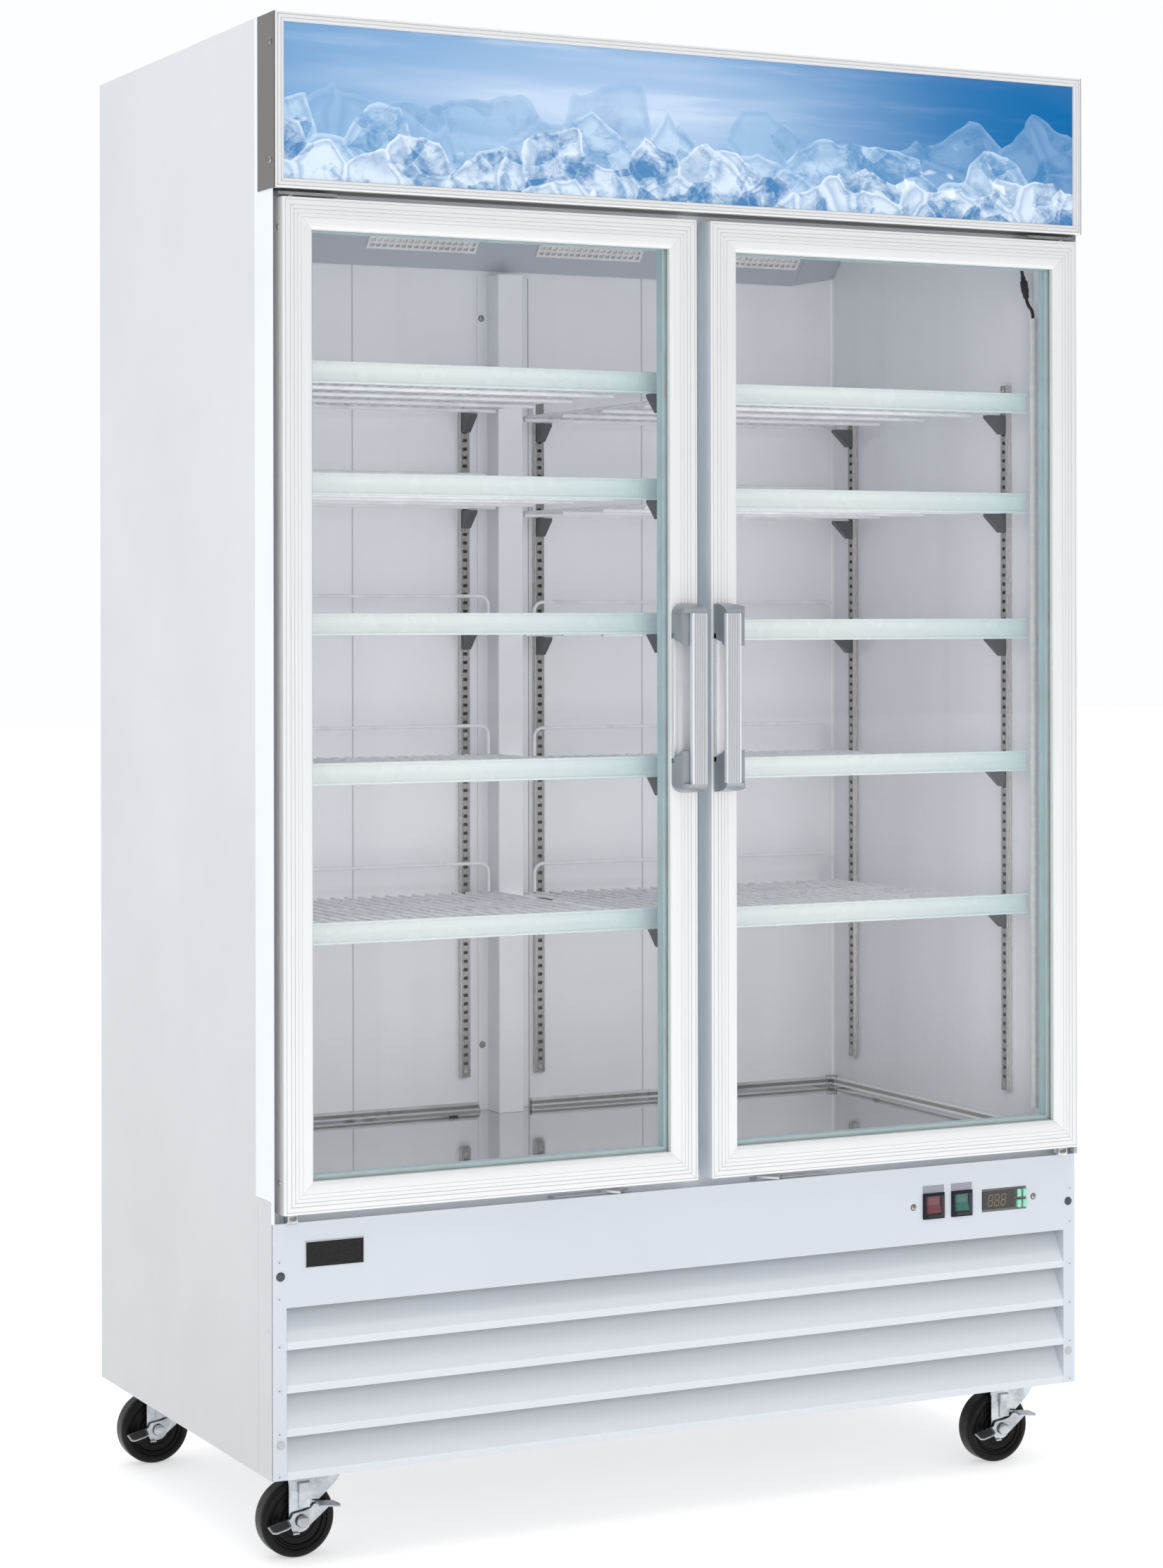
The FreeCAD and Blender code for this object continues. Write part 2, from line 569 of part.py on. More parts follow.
def handle_end(flip):
    """One end block of the right-hand handle, curved towards the hinge side. Flip makes the lower one."""
    plate_y = DOOR_FACE_Y - HANDLE_PLATE
    front_y = PANEL_Y - HANDLE_STANDOUT
    rows = 8
    side = []
    for i in range(rows + 1):
        angle = math.pi / 2 * i / rows
        x = GRIP_OUTER_X + (HANDLE_OUTER_X - GRIP_OUTER_X) * math.cos(angle)
        y = plate_y + (front_y - plate_y) * math.sin(angle)
        side.append((x, y))
    plan = [(HANDLE_INNER_X, plate_y)] + side + [(HANDLE_INNER_X, front_y)]
    body = prism_along_z(plan, HANDLE_TOP_Z - HANDLE_END_LENGTH - 8.0, HANDLE_TOP_Z)
    bar_back = front_y + GRIP_THICKNESS
    outline = [(plate_y + 1.0, HANDLE_TOP_Z - HANDLE_END_LENGTH), (plate_y + 1.0, HANDLE_TOP_Z)]
    for i in range(rows + 1):
        angle = math.pi / 2 * i / rows
        y = plate_y + (front_y - plate_y) * math.sin(angle)
        z = GRIP_TOP_Z + 0.2 + (HANDLE_TOP_Z - GRIP_TOP_Z - 0.2) * math.cos(angle)
        outline.append((y, z))
    outline = outline + [(bar_back, GRIP_TOP_Z + 0.2), (bar_back, HANDLE_TOP_Z - HANDLE_END_LENGTH - 8.0)]
    end = body.common(prism_along_x(outline, HANDLE_INNER_X - 5.0, HANDLE_OUTER_X + 5.0))
    if flip:
        middle = (HANDLE_BOTTOM_Z + HANDLE_TOP_Z) / 2
        end = end.mirror(Vector(0, 0, middle), Vector(0, 0, 1))
    return end


def door_handle():
    """Right-hand handle: back plate, two end blocks and the grip bar across them."""
    plate = block(HANDLE_INNER_X, HANDLE_OUTER_X, DOOR_FACE_Y - HANDLE_PLATE, DOOR_FACE_Y,
                  HANDLE_BOTTOM_Z, HANDLE_TOP_Z)
    front_y = PANEL_Y - HANDLE_STANDOUT
    grip = block(HANDLE_INNER_X, GRIP_OUTER_X, front_y, front_y + GRIP_THICKNESS,
                 GRIP_BOTTOM_Z + 0.8, GRIP_TOP_Z)
    return [plate, handle_end(False), handle_end(True), grip]


def hinge_brackets():
    """Fixed hinge plates above and below each door, with their pins, bushes and the door stays."""
    gap_z = 3.0
    top_z = DOOR_TOP_Z + gap_z
    pin_reach = 10.0
    top_plate = block(HINGE_X - 60.0, HINGE_X + 20.0, HINGE_Y - 9.0, FRAME_FACE_Y, top_z, top_z + 4.0)
    top_pin = rod(HINGE_PIN_RADIUS, Vector(HINGE_X, HINGE_Y, DOOR_TOP_Z - pin_reach),
                  Vector(HINGE_X, HINGE_Y, top_z))
    bottom_z = PANEL_TOP_Z - 9.0
    bottom_plate = block(HINGE_X - 40.0, HINGE_X + 20.0, HINGE_Y + 5.4, FRAME_FACE_Y,
                         bottom_z, bottom_z + 4.0)
    bush_z = DOOR_BOTTOM_Z - 2.0
    crank_y = HINGE_Y + HINGE_CRANK
    bush = rod(HINGE_BUSH_RADIUS, Vector(HINGE_X, crank_y, bottom_z + 4.0),
               Vector(HINGE_X, crank_y, bush_z))
    bush = bush.fuse(block(HINGE_X - 5.0, HINGE_X + 5.0, HINGE_Y - 5.0, crank_y, bush_z - 4.0, bush_z))
    bottom_pin = rod(HINGE_PIN_RADIUS, Vector(HINGE_X, HINGE_Y, bush_z),
                     Vector(HINGE_X, HINGE_Y, DOOR_BOTTOM_Z + pin_reach))
    stay_top = PANEL_TOP_Z + 2.0
    stay = block(95.0, 210.0, PANEL_Y + 8.0, FRAME_FACE_Y, PANEL_TOP_Z - 2.0, stay_top)
    catch = prism_along_z([(99.0, PANEL_Y + 14.0), (139.0, PANEL_Y + 14.0), (121.0, PANEL_Y - 8.0)],
                          stay_top, stay_top + 3.0)
    return both_sides([top_plate, top_pin, bottom_plate, bush, bottom_pin, stay, catch])


# ---------------------------------------------------------------- lower front panel
def louvre(lip_top):
    """Profile of one louvre: a sloping blade that ends in an upright lip."""
    sheet = 1.2
    rise = 40.0
    front = PANEL_Y
    back = PANEL_Y + LOUVRE_DEPTH
    lip_bottom = lip_top - LOUVRE_LIP
    return [
        (front, lip_bottom), (front, lip_top), (back, lip_top + rise),
        (back + sheet, lip_top + rise - 0.6), (front + sheet, lip_top - 0.6), (front + sheet, lip_bottom),
    ]


def grille_panel():
    """Lower front panel: flat band with cut-outs for the controls, two stiles and a stack of louvres."""
    sheet = 1.2
    half = PANEL_HALF_WIDTH
    inside = PANEL_Y + sheet
    flat = block(-half, half, PANEL_Y, inside, PANEL_FLAT_BOTTOM_Z, PANEL_TOP_Z)
    stile = block(STILE_INNER_X, half, PANEL_Y, inside, CABINET_BOTTOM, PANEL_FLAT_BOTTOM_Z)
    stile_return = block(STILE_INNER_X, STILE_INNER_X + sheet, inside, inside + LOUVRE_DEPTH,
                         CABINET_BOTTOM + 4.0, PANEL_FLAT_BOTTOM_Z + 8.0)
    top_return = block(-half, half, inside, PANEL_Y + 8.0, PANEL_TOP_Z - sheet, PANEL_TOP_Z)
    pieces = [flat, top_return] + both_sides([stile, stile_return])
    for i in range(LOUVRE_COUNT):
        lip_top = PANEL_FLAT_BOTTOM_Z - 44.0 - i * LOUVRE_PITCH
        pieces.append(prism_along_x(louvre(lip_top), -STILE_INNER_X - sheet, STILE_INNER_X + sheet))
    panel = pieces[0].multiFuse(pieces[1:])
    z0 = CONTROL_MIDDLE_Z - BEZEL_HEIGHT / 2 + 2.0
    z1 = CONTROL_MIDDLE_Z + BEZEL_HEIGHT / 2 - 2.0
    for x0, x1 in (CONTROLLER_X, POWER_SWITCH_X, LIGHT_SWITCH_X):
        panel = panel.cut(block(x0 + 2.0, x1 - 2.0, PANEL_Y - 5.0, PANEL_Y + 5.0, z0, z1))
    y = HINGE_Y + HINGE_CRANK
    for x in (-HINGE_X, HINGE_X):
        notch = rod(HINGE_BUSH_RADIUS + 0.2, Vector(x, y, PANEL_TOP_Z - 4.0), Vector(x, y, PANEL_TOP_Z + 4.0))
        panel = panel.cut(notch)
    return [panel.removeSplitter()]


def panel_fasteners():
    """Rivets down both stiles, hole plugs, and the two screws beside the controls."""
    solids = []
    rivet_levels = (388.5, 342.0, 282.0, 227.0, 172.5, 119.0)
    stile_x = 600.0
    for z in rivet_levels:
        for x in (-stile_x, stile_x):
            solids.append(rod(3.0, Vector(x, PANEL_Y - 1.2, z), Vector(x, PANEL_Y, z)))
    for z in (370.5, 158.5):
        for x in (-stile_x + 2.0, stile_x - 2.0):
            solids.append(rod(6.0, Vector(x, PANEL_Y - 1.6, z), Vector(x, PANEL_Y, z)))
    z = CONTROL_MIDDLE_Z
    for x in (340.0, 538.8):
        solids.append(rod(3.6, Vector(x, PANEL_Y - 2.0, z), Vector(x, PANEL_Y, z)))
    return solids


# ---------------------------------------------------------------- controls
def bezel(x_range, window, depth):
    """A rectangular bezel with a rim on the panel, a body through it and an open window."""
    x0, x1 = x_range
    z0 = CONTROL_MIDDLE_Z - BEZEL_HEIGHT / 2
    z1 = CONTROL_MIDDLE_Z + BEZEL_HEIGHT / 2
    rim = block(x0, x1, PANEL_Y - 3.0, PANEL_Y, z0, z1)
    body = block(x0 + 2.3, x1 - 2.3, PANEL_Y - 1.0, PANEL_Y + depth, z0 + 2.3, z1 - 2.3)
    wx0, wx1, wz0, wz1 = window
    hole = block(wx0, wx1, PANEL_Y - 4.0, PANEL_Y + depth - 2.0, wz0, wz1)
    return rim.fuse(body).cut(hole).removeSplitter()


def button_centres():
    """Middles of the four controller buttons, as (x, z)."""
    rows = (CONTROL_MIDDLE_Z + BUTTON_MIDDLE_RISE, CONTROL_MIDDLE_Z - BUTTON_MIDDLE_RISE)
    return [(x, z) for z in rows for x in BUTTON_MIDDLES_X]


def button_block(x, z, clearance, y0, y1):
    """A box the size of one push button, larger all round by the clearance."""
    half_width = BUTTON_HALF_WIDTH + clearance
    half_height = BUTTON_HALF_HEIGHT + clearance
    return block(x - half_width, x + half_width, y0, y1, z - half_height, z + half_height)


def controller_case():
    """Temperature controller: case with wells for the display and the buttons, and the display window."""
    x0, x1 = DISPLAY_X
    z0 = CONTROL_MIDDLE_Z - DISPLAY_HALF_HEIGHT
    z1 = CONTROL_MIDDLE_Z + DISPLAY_HALF_HEIGHT
    fit = 0.2
    case = bezel(CONTROLLER_X, (x0 - fit, x1 + fit, z0 - fit, z1 + fit), 40.0)
    for x, z in button_centres():
        case = case.cut(button_block(x, z, 0.6, PANEL_Y - 4.0, PANEL_Y + 6.0))
    display = block(x0, x1, PANEL_Y - 2.2, PANEL_Y + 38.0, z0, z1)
    return [case, display]


def controller_button(x, z):
    """One push button, standing proud of the case."""
    return [button_block(x, z, 0.0, PANEL_Y - 4.6, PANEL_Y + 2.0)]


def switch_window(x_range):
    """The opening in a switch bezel that the rocker sits in."""
    x0, x1 = x_range
    return (x0 + 5.0, x1 - 5.0, CONTROL_MIDDLE_Z - 13.0, CONTROL_MIDDLE_Z + 13.0)


def switch_bezels():
    """Both switch bodies and the small label plates above them, left blank."""
    solids = []
    bezel_top = CONTROL_MIDDLE_Z + BEZEL_HEIGHT / 2
    for x_range in (POWER_SWITCH_X, LIGHT_SWITCH_X):
        x0, x1 = x_range
        solids.append(bezel(x_range, switch_window(x_range), 26.0))
        solids.append(block(x0, x1, PANEL_Y - 0.6, PANEL_Y, bezel_top + 1.0, bezel_top + 10.0))
    return solids


def rocker_pivot():
    """Height and depth of the rockers' pivot, as (y, z)."""
    return (PANEL_Y + 8.0, CONTROL_MIDDLE_Z)


def rocker(x_range):
    """One rocker: a bent cap whose upper half is pressed in at rest."""
    x0, x1, z0, z1 = switch_window(x_range)
    pivot_y, pivot_z = rocker_pivot()
    half = 11.5
    lean = math.radians(8.0)
    profile = []
    for dy, dz in ((-9.5, -half), (-7.6, 0.0), (-9.5, half), (4.0, half - 3.0), (4.0, -half + 3.0)):
        y = pivot_y + dy * math.cos(lean) + dz * math.sin(lean)
        z = pivot_z + dz * math.cos(lean) - dy * math.sin(lean)
        profile.append((y, z))
    return [prism_along_x(profile, x0 + 0.6, x1 - 0.6)]


# ---------------------------------------------------------------- lights
def led_lights():
    """A tube light beside each outer jamb with its clips, and the lamp behind the sign."""
    cap = 16.0
    low = TUBE_BOTTOM_Z
    high = TUBE_TOP_Z
    tube = rod(5.5, Vector(TUBE_X, TUBE_Y, low + cap), Vector(TUBE_X, TUBE_Y, high - cap))
    caps = [rod(6.0, Vector(TUBE_X, TUBE_Y, z), Vector(TUBE_X, TUBE_Y, z + cap)) for z in (low, high - cap)]
    clips = []
    for z in (560.0, 1160.0, 1520.0):
        ring = rod(6.4, Vector(TUBE_X, TUBE_Y, z), Vector(TUBE_X, TUBE_Y, z + 10.0))
        clips.append(ring.cut(rod(5.55, Vector(TUBE_X, TUBE_Y, z - 1.0), Vector(TUBE_X, TUBE_Y, z + 11.0))))
    sign_y = PANEL_Y + 12.0
    sign_z = (SIGN_BOTTOM_Z + SIGN_TOP_Z) / 2
    lamp = rod(8.0, Vector(-560.0, sign_y, sign_z), Vector(560.0, sign_y, sign_z))
    sockets = []
    for x in (-585.0, 560.0):
        sockets.append(block(x, x + 25.0, sign_y - 10.0, FRAME_FACE_Y, sign_z - 12.0, sign_z + 12.0))
    return both_sides([tube] + caps + clips) + [lamp] + sockets


def smooth_path(points):
    """Straight runs joined by tangent arcs, each as large as its two runs allow. Prints the radii."""
    edges = []
    start = points[0]
    radii = []
    for i in range(1, len(points) - 1):
        before = points[i - 1] - points[i]
        after = points[i + 1] - points[i]
        half_turn = (math.pi - before.getAngle(after)) / 2
        shorter = min(before.Length, after.Length)
        back_off = 0.45 * shorter
        radius = back_off / math.tan(half_turn)
        before.normalize()
        after.normalize()
        first = points[i] + before * back_off
        last = points[i] + after * back_off
        inward = before + after
        inward.normalize()
        to_centre = radius / math.cos(half_turn)
        middle = points[i] + inward * (to_centre - radius)
        edges.append(Part.LineSegment(start, first).toShape())
        edges.append(Part.Arc(first, middle, last).toShape())
        start = last
        radii.append(round(radius, 1))
    edges.append(Part.LineSegment(start, points[-1]).toShape())
    print("lead radii", radii)
    return Part.Wire(edges)


def led_leads():
    """Black lead of each jamb light, from the ceiling through an inline connector to the tube."""
    along = Vector(0.5, -8.0, -31.0)
    along.normalize()
    connector_length = 32.0
    before_connector = Vector(TUBE_X - 3.0, TUBE_Y + 29.0, 1712.0)
    connector_top = before_connector + along * 30.0
    connector_foot = connector_top + along * connector_length
    upper_route = [
        Vector(TUBE_X - 4.0, TUBE_Y + 34.0, INNER_TOP_Z - 0.4), Vector(TUBE_X - 5.0, TUBE_Y + 35.0, 1850.0),
        Vector(TUBE_X - 4.0, TUBE_Y + 36.0, 1800.0), Vector(TUBE_X - 4.0, TUBE_Y + 34.0, 1752.0),
        before_connector, connector_top,
    ]
    lower_route = [
        connector_foot, connector_foot + along * 10.0,
        Vector(TUBE_X, TUBE_Y, 1633.0), Vector(TUBE_X, TUBE_Y, TUBE_TOP_Z + 0.1),
    ]
    solids = []
    for route in (upper_route, lower_route):
        path = smooth_path(route)
        radius = 2.4
        circle = Part.Wire([Part.makeCircle(radius, route[0], route[1] - route[0])])
        solids.append(path.makePipeShell([circle], True, True))
        print("lead volume over section times length",
              round(solids[-1].Volume / (math.pi * radius ** 2 * path.Length), 4))
    solids.append(rod(5.5, connector_top, connector_foot))
    return both_sides(solids)


# ---------------------------------------------------------------- refrigeration
def evaporator_cover():
    """Sloped ceiling cover with a chamfered right end, and the waffle grilles set into it."""
    low = (INNER_BACK_Y - 1.0, 1716.0)
    high = (PANEL_Y + 462.0, INNER_TOP_Z - 0.5)
    sheet = 2.0
    end_x = 508.0
    span = Vector(0, high[0] - low[0], high[1] - low[1])
    span.normalize()
    normal = Vector(0, span.z, -span.y)
    profile = [low, high, (high[0] + normal.y * sheet, high[1]), (low[0], low[1] + sheet * 1.6)]
    cover = prism_along_x(profile, -INNER_HALF_WIDTH + 0.5, end_x)
    margin = 6.0
    facet_low = Vector(INNER_HALF_WIDTH - 0.5, low[0], low[1] + 14.0)
    facet_high = Vector(INNER_HALF_WIDTH - 0.5, high[0] + 2.0, high[1])
    thick = Vector(0, sheet, 0)
    cover_low = Vector(end_x, low[0] - sheet, low[1] + 1.0)
    cover_high = Vector(end_x, high[0], high[1])
    facet = polygon_prism([cover_low, facet_low - thick, facet_high], thick)
    facet = facet.fuse(polygon_prism([cover_low, facet_high, cover_high], thick))
    grilles = []
    width = 176.0
    height = 96.0
    start = Vector(0, low[0], low[1]) + span * 24.0
    for middle_x in (-416.0, -140.0, 136.0, 412.0):
        origin = start + Vector(middle_x - width / 2, 0, 0) - normal * 3.0
        grilles.append(waffle_grille(width, height, origin, span, normal))
        corner = start + Vector(middle_x - width / 2 + margin, 0, 0) + span * margin - normal * 8.0
        right = Vector(width - 2 * margin, 0, 0)
        rise = span * (height - 2 * margin)
        opening = [corner, corner + right, corner + right + rise, corner + rise]
        cover = cover.cut(polygon_prism(opening, normal * 16.0))
    return [cover, facet] + grilles


def waffle_grille(width, height, origin, up, normal):
    """A flat lattice in its own plane: width along X, height along up, thickness along normal."""
    plate = Part.Face(Part.makePolygon([
        origin, origin + Vector(width, 0, 0), origin + Vector(width, 0, 0) + up * height,
        origin + up * height, origin])).extrude(normal * 3.0)
    columns = 10
    rows = 6
    cells = []
    rim = 6.0
    rib = 3.0
    cell_w = (width - 2 * rim - (columns - 1) * rib) / columns
    cell_h = (height - 2 * rim - (rows - 1) * rib) / rows
    for i in range(columns):
        for j in range(rows):
            across = Vector(rim + i * (cell_w + rib), 0, 0)
            corner = origin + across + up * (rim + j * (cell_h + rib)) - normal
            right = Vector(cell_w, 0, 0)
            rise = up * cell_h
            cells.append(Part.Face(Part.makePolygon([
                corner, corner + right, corner + right + rise, corner + rise, corner])).extrude(normal * 5.0))
    return plate.cut(Part.makeCompound(cells))


def fan_middles():
    """Middles of the evaporator fans, as (x, y, z)."""
    return [(x, PANEL_Y + 530.0, 1838.0) for x in (-140.0, 136.0)]


def fan_axis():
    """Unit vector from the evaporator fans towards the shelves."""
    lean = math.radians(41.0)
    return Vector(0, -math.cos(lean), -math.sin(lean))


def fan_rotor(radius, hub_radius, blade_width, middle, axis, blades):
    """A hub with flat pitched blades, turning about its own axis."""
    hub = Part.makeCylinder(hub_radius, blade_width, Vector(0, 0, -blade_width / 2), Vector(0, 0, 1))
    pieces = [hub]
    pitch = 32.0
    for i in range(blades):
        blade = block(hub_radius - 3.0, radius, -radius * 0.3, radius * 0.3, -0.8, 0.8)
        blade = blade.rotated(Vector(0, 0, 0), Vector(1, 0, 0), pitch)
        blade = blade.rotated(Vector(0, 0, 0), Vector(0, 0, 1), 360.0 * i / blades)
        pieces.append(blade)
    rotor = pieces[0].multiFuse(pieces[1:])
    rotor.Placement = FreeCAD.Placement(Vector(*middle), FreeCAD.Rotation(Vector(0, 0, 1), axis))
    return [rotor]


def evaporator_coil():
    """Fin pack with its tubes along the top rear of the display space, its drip tray and the fan motors."""
    y0 = INNER_BACK_Y - 46.0
    y1 = INNER_BACK_Y - 4.0
    z0 = 1806.0
    z1 = 1884.0
    fins = block(-460.0, 460.0, y0, y1, z0, z1)
    tubes = []
    for z in (z0 + 18.0, z0 + 58.0):
        for y in (y0 + 11.0, y1 - 11.0):
            tubes.append(rod(5.0, Vector(460.0, y, z), Vector(478.0, y, z)))
            tubes.append(rod(5.0, Vector(-478.0, y, z), Vector(-460.0, y, z)))
    tray = block(-480.0, 480.0, y0 - 4.0, y1 + 2.0, z0 - 8.0, z0 - 4.0)
    motors = []
    away = fan_axis() * -1.0
    for middle in fan_middles():
        centre = Vector(*middle)
        end = centre + away * 27.0
        motors.append(rod(14.0, centre + away * 10.4, end))
        hanger = block(end.x - 5.0, end.x + 5.0, end.y - 2.0, end.y + 2.0, end.z, INNER_TOP_Z - 0.3)
        motors.append(hanger.cut(motors[-1]))
    return [fins, tray] + tubes + motors


def compressor():
    """Hermetic compressor on its feet, its terminal box and its pipes."""
    x = -230.0
    y = PANEL_Y + 420.0
    floor = CABINET_BOTTOM + 3.0
    radius = 82.0
    dome_radius = 120.0
    shoulder = floor + 154.0
    shell = Part.makeCylinder(radius, 110.0, Vector(x, y, floor + 44.0))
    dome = Part.makeSphere(dome_radius, Vector(x, y, shoulder - math.sqrt(dome_radius ** 2 - radius ** 2)))
    dome = dome.common(Part.makeCylinder(radius, 60.0, Vector(x, y, shoulder - 1.0)))
    bowl = Part.makeCone(60.0, radius, 24.0, Vector(x, y, floor + 20.0))
    body = shell.multiFuse([dome, bowl])
    plate = block(x - 105.0, x + 105.0, y - 70.0, y + 70.0, floor + 16.0, floor + 20.0)
    feet = []
    for dx in (-88.0, 88.0):
        for dy in (-55.0, 55.0):
            feet.append(rod(13.0, Vector(x + dx, y + dy, floor), Vector(x + dx, y + dy, floor + 16.0)))
    terminal = block(x + 83.0, x + 118.0, y - 30.0, y + 30.0, floor + 60.0, floor + 130.0)
    pipe_y = y + 110.0
    pipe_z = floor + 60.0
    drier_left = Vector(x - 60.0, pipe_y, pipe_z)
    drier_right = Vector(x + 60.0, pipe_y, pipe_z)
    drier = rod(12.0, drier_left, drier_right)
    liquid = rod(3.5, drier_right, Vector(150.0, pipe_y, pipe_z))
    riser = rod(5.0, drier_left + Vector(0, 0, 12.0), Vector(x - 60.0, pipe_y, DECK_Z))
    return [body, plate, terminal, drier, liquid, riser] + feet


def condenser_coil():
    """Fin pack of the condenser, just behind the louvres."""
    y0 = PANEL_Y + 70.0
    fins = block(40.0, 360.0, y0, y0 + 66.0, 130.0, 380.0)
    tubes = []
    for i in range(5):
        z = 155.0 + i * 50.0
        for x0, x1 in ((22.0, 40.0), (360.0, 378.0)):
            tubes.append(rod(4.8, Vector(x0, y0 + 33.0, z), Vector(x1, y0 + 33.0, z)))
    return [fins] + tubes


def condenser_fan_middle():
    """Middle of the condenser fan, as (x, y, z)."""
    return (200.0, PANEL_Y + 176.0, 255.0)


def condenser_shroud():
    """Shroud with its round mouth, the fan motor, its bracket, and the evaporating pan beside it."""
    x, y, z = condenser_fan_middle()
    back = PANEL_Y + 136.4
    plate = block(40.0, 360.0, back + 8.0, back + 10.0, 130.0, 380.0)
    plate = plate.cut(rod(108.0, Vector(x, back, z), Vector(x, back + 20.0, z)))
    rims = [block(40.0, 360.0, back, back + 8.0, z0, z0 + 2.0) for z0 in (130.0, 378.0)]
    motor = rod(38.0, Vector(x, y + 26.0, z), Vector(x, y + 86.0, z))
    shaft = rod(4.0, Vector(x, y + 12.1, z), Vector(x, y + 26.0, z))
    bracket = block(x - 12.0, x + 12.0, y + 40.0, y + 60.0, CABINET_BOTTOM + 3.0, z - 38.2)
    pan_z = CABINET_BOTTOM + 6.0
    pan = block(380.0, 560.0, PANEL_Y + 250.0, PANEL_Y + 480.0, pan_z, pan_z + 50.0)
    pan = pan.cut(block(382.0, 558.0, PANEL_Y + 252.0, PANEL_Y + 478.0, pan_z + 2.0, pan_z + 54.0))
    return [plate, motor, shaft, bracket, pan] + rims


# ---------------------------------------------------------------- casters
def caster_plate():
    """Fixed top plate with its race and king pin, the swivel axis on the origin."""
    plate = block(-46.0, 46.0, -34.0, 34.0, CABINET_BOTTOM - 3.0, CABINET_BOTTOM)
    race = Part.makeCylinder(26.0, 0.9, Vector(0, 0, FORK_TOP_Z + 3.1))
    king_pin = rod(6.0, Vector(0, 0, FORK_TOP_Z - 5.5), Vector(0, 0, CABINET_BOTTOM - 3.0))
    head = rod(9.0, Vector(0, 0, FORK_TOP_Z - 6.5), Vector(0, 0, FORK_TOP_Z - 3.1))
    return plate.multiFuse([race, king_pin, head]).removeSplitter()


def fork_leg(y0, y1):
    """One fork leg: wide under the crown, narrow and round at the axle."""
    axle_x = -CASTER_TRAIL
    nose = 15.0
    crown_z = FORK_TOP_Z
    outline = Part.makePolygon([
        Vector(axle_x + nose, y0, WHEEL_RADIUS), Vector(30.0, y0, crown_z - 18.0), Vector(30.0, y0, crown_z),
        Vector(-34.0, y0, crown_z), Vector(-38.0, y0, crown_z - 16.0),
        Vector(axle_x - nose, y0, WHEEL_RADIUS)])
    arc = Part.Arc(Vector(axle_x - nose, y0, WHEEL_RADIUS), Vector(axle_x, y0, WHEEL_RADIUS - nose),
                   Vector(axle_x + nose, y0, WHEEL_RADIUS)).toShape()
    face = Part.Face(Part.Wire(outline.Edges + [arc]))
    return face.extrude(Vector(0, y1 - y0, 0))


def caster_fork():
    """Swivelling fork: crown, race and two legs pressed in one, with the axle bolt and its nut."""
    outer = FORK_HALF_GAP + FORK_SHEET
    crown = block(-34.0, 30.0, -outer, outer, FORK_TOP_Z - FORK_SHEET, FORK_TOP_Z)
    race = Part.makeCylinder(27.0, 3.0, Vector(0, 0, FORK_TOP_Z))
    legs = [fork_leg(-outer, -FORK_HALF_GAP), fork_leg(FORK_HALF_GAP, outer)]
    yoke = crown.multiFuse([race] + legs)
    yoke = yoke.cut(rod(6.0 + RUNNING_FIT, Vector(0, 0, FORK_TOP_Z - 10.0), Vector(0, 0, FORK_TOP_Z + 10.0)))
    x = -CASTER_TRAIL
    axle_hole = rod(AXLE_RADIUS, Vector(x, -outer - 1.0, WHEEL_RADIUS), Vector(x, outer + 1.0, WHEEL_RADIUS))
    yoke = yoke.cut(axle_hole)
    bolt = rod(AXLE_RADIUS, Vector(x, -outer - 4.4, WHEEL_RADIUS), Vector(x, outer + 6.0, WHEEL_RADIUS))
    return [yoke.removeSplitter(), bolt] + [
        hexagon(8.0, x, -outer - 9.4, -outer - 4.4), ring_nut(x, outer, outer + 6.0)]


def hexagon(radius, x, y0, y1):
    """A hexagonal head on the axle line."""
    corners = []
    for i in range(6):
        angle = math.pi / 3 * i
        corners.append((x + radius * math.cos(angle), WHEEL_RADIUS + radius * math.sin(angle)))
    return prism_along_y(corners, y0, y1)


def ring_nut(x, y0, y1):
    """A hexagonal nut around the axle bolt."""
    hole = rod(AXLE_RADIUS, Vector(x, y0 - 1.0, WHEEL_RADIUS), Vector(x, y1 + 1.0, WHEEL_RADIUS))
    return hexagon(8.0, x, y0, y1).cut(hole)


def caster_wheel():
    """Moulded wheel: rounded tread, recessed side rings and a hub with a running bore."""
    half = WHEEL_WIDTH / 2
    hub_half = FORK_HALF_GAP - 0.4
    bore = AXLE_RADIUS + RUNNING_FIT
    tread = 5.0
    profile = [
        (bore, -hub_half), (13.0, -hub_half), (13.0, -half + 5.0), (30.0, -half + 5.0), (33.0, -half),
        (WHEEL_RADIUS - tread, -half), (WHEEL_RADIUS, -half + tread), (WHEEL_RADIUS, half - tread),
        (WHEEL_RADIUS - tread, half), (33.0, half), (30.0, half - 5.0), (13.0, half - 5.0),
        (13.0, hub_half), (bore, hub_half),
    ]
    x = -CASTER_TRAIL
    points = [Vector(x + radius, y, WHEEL_RADIUS) for radius, y in profile]
    face = Part.Face(Part.makePolygon(points + points[:1]))
    return face.revolve(Vector(x, 0, WHEEL_RADIUS), Vector(0, 1, 0), 360.0)


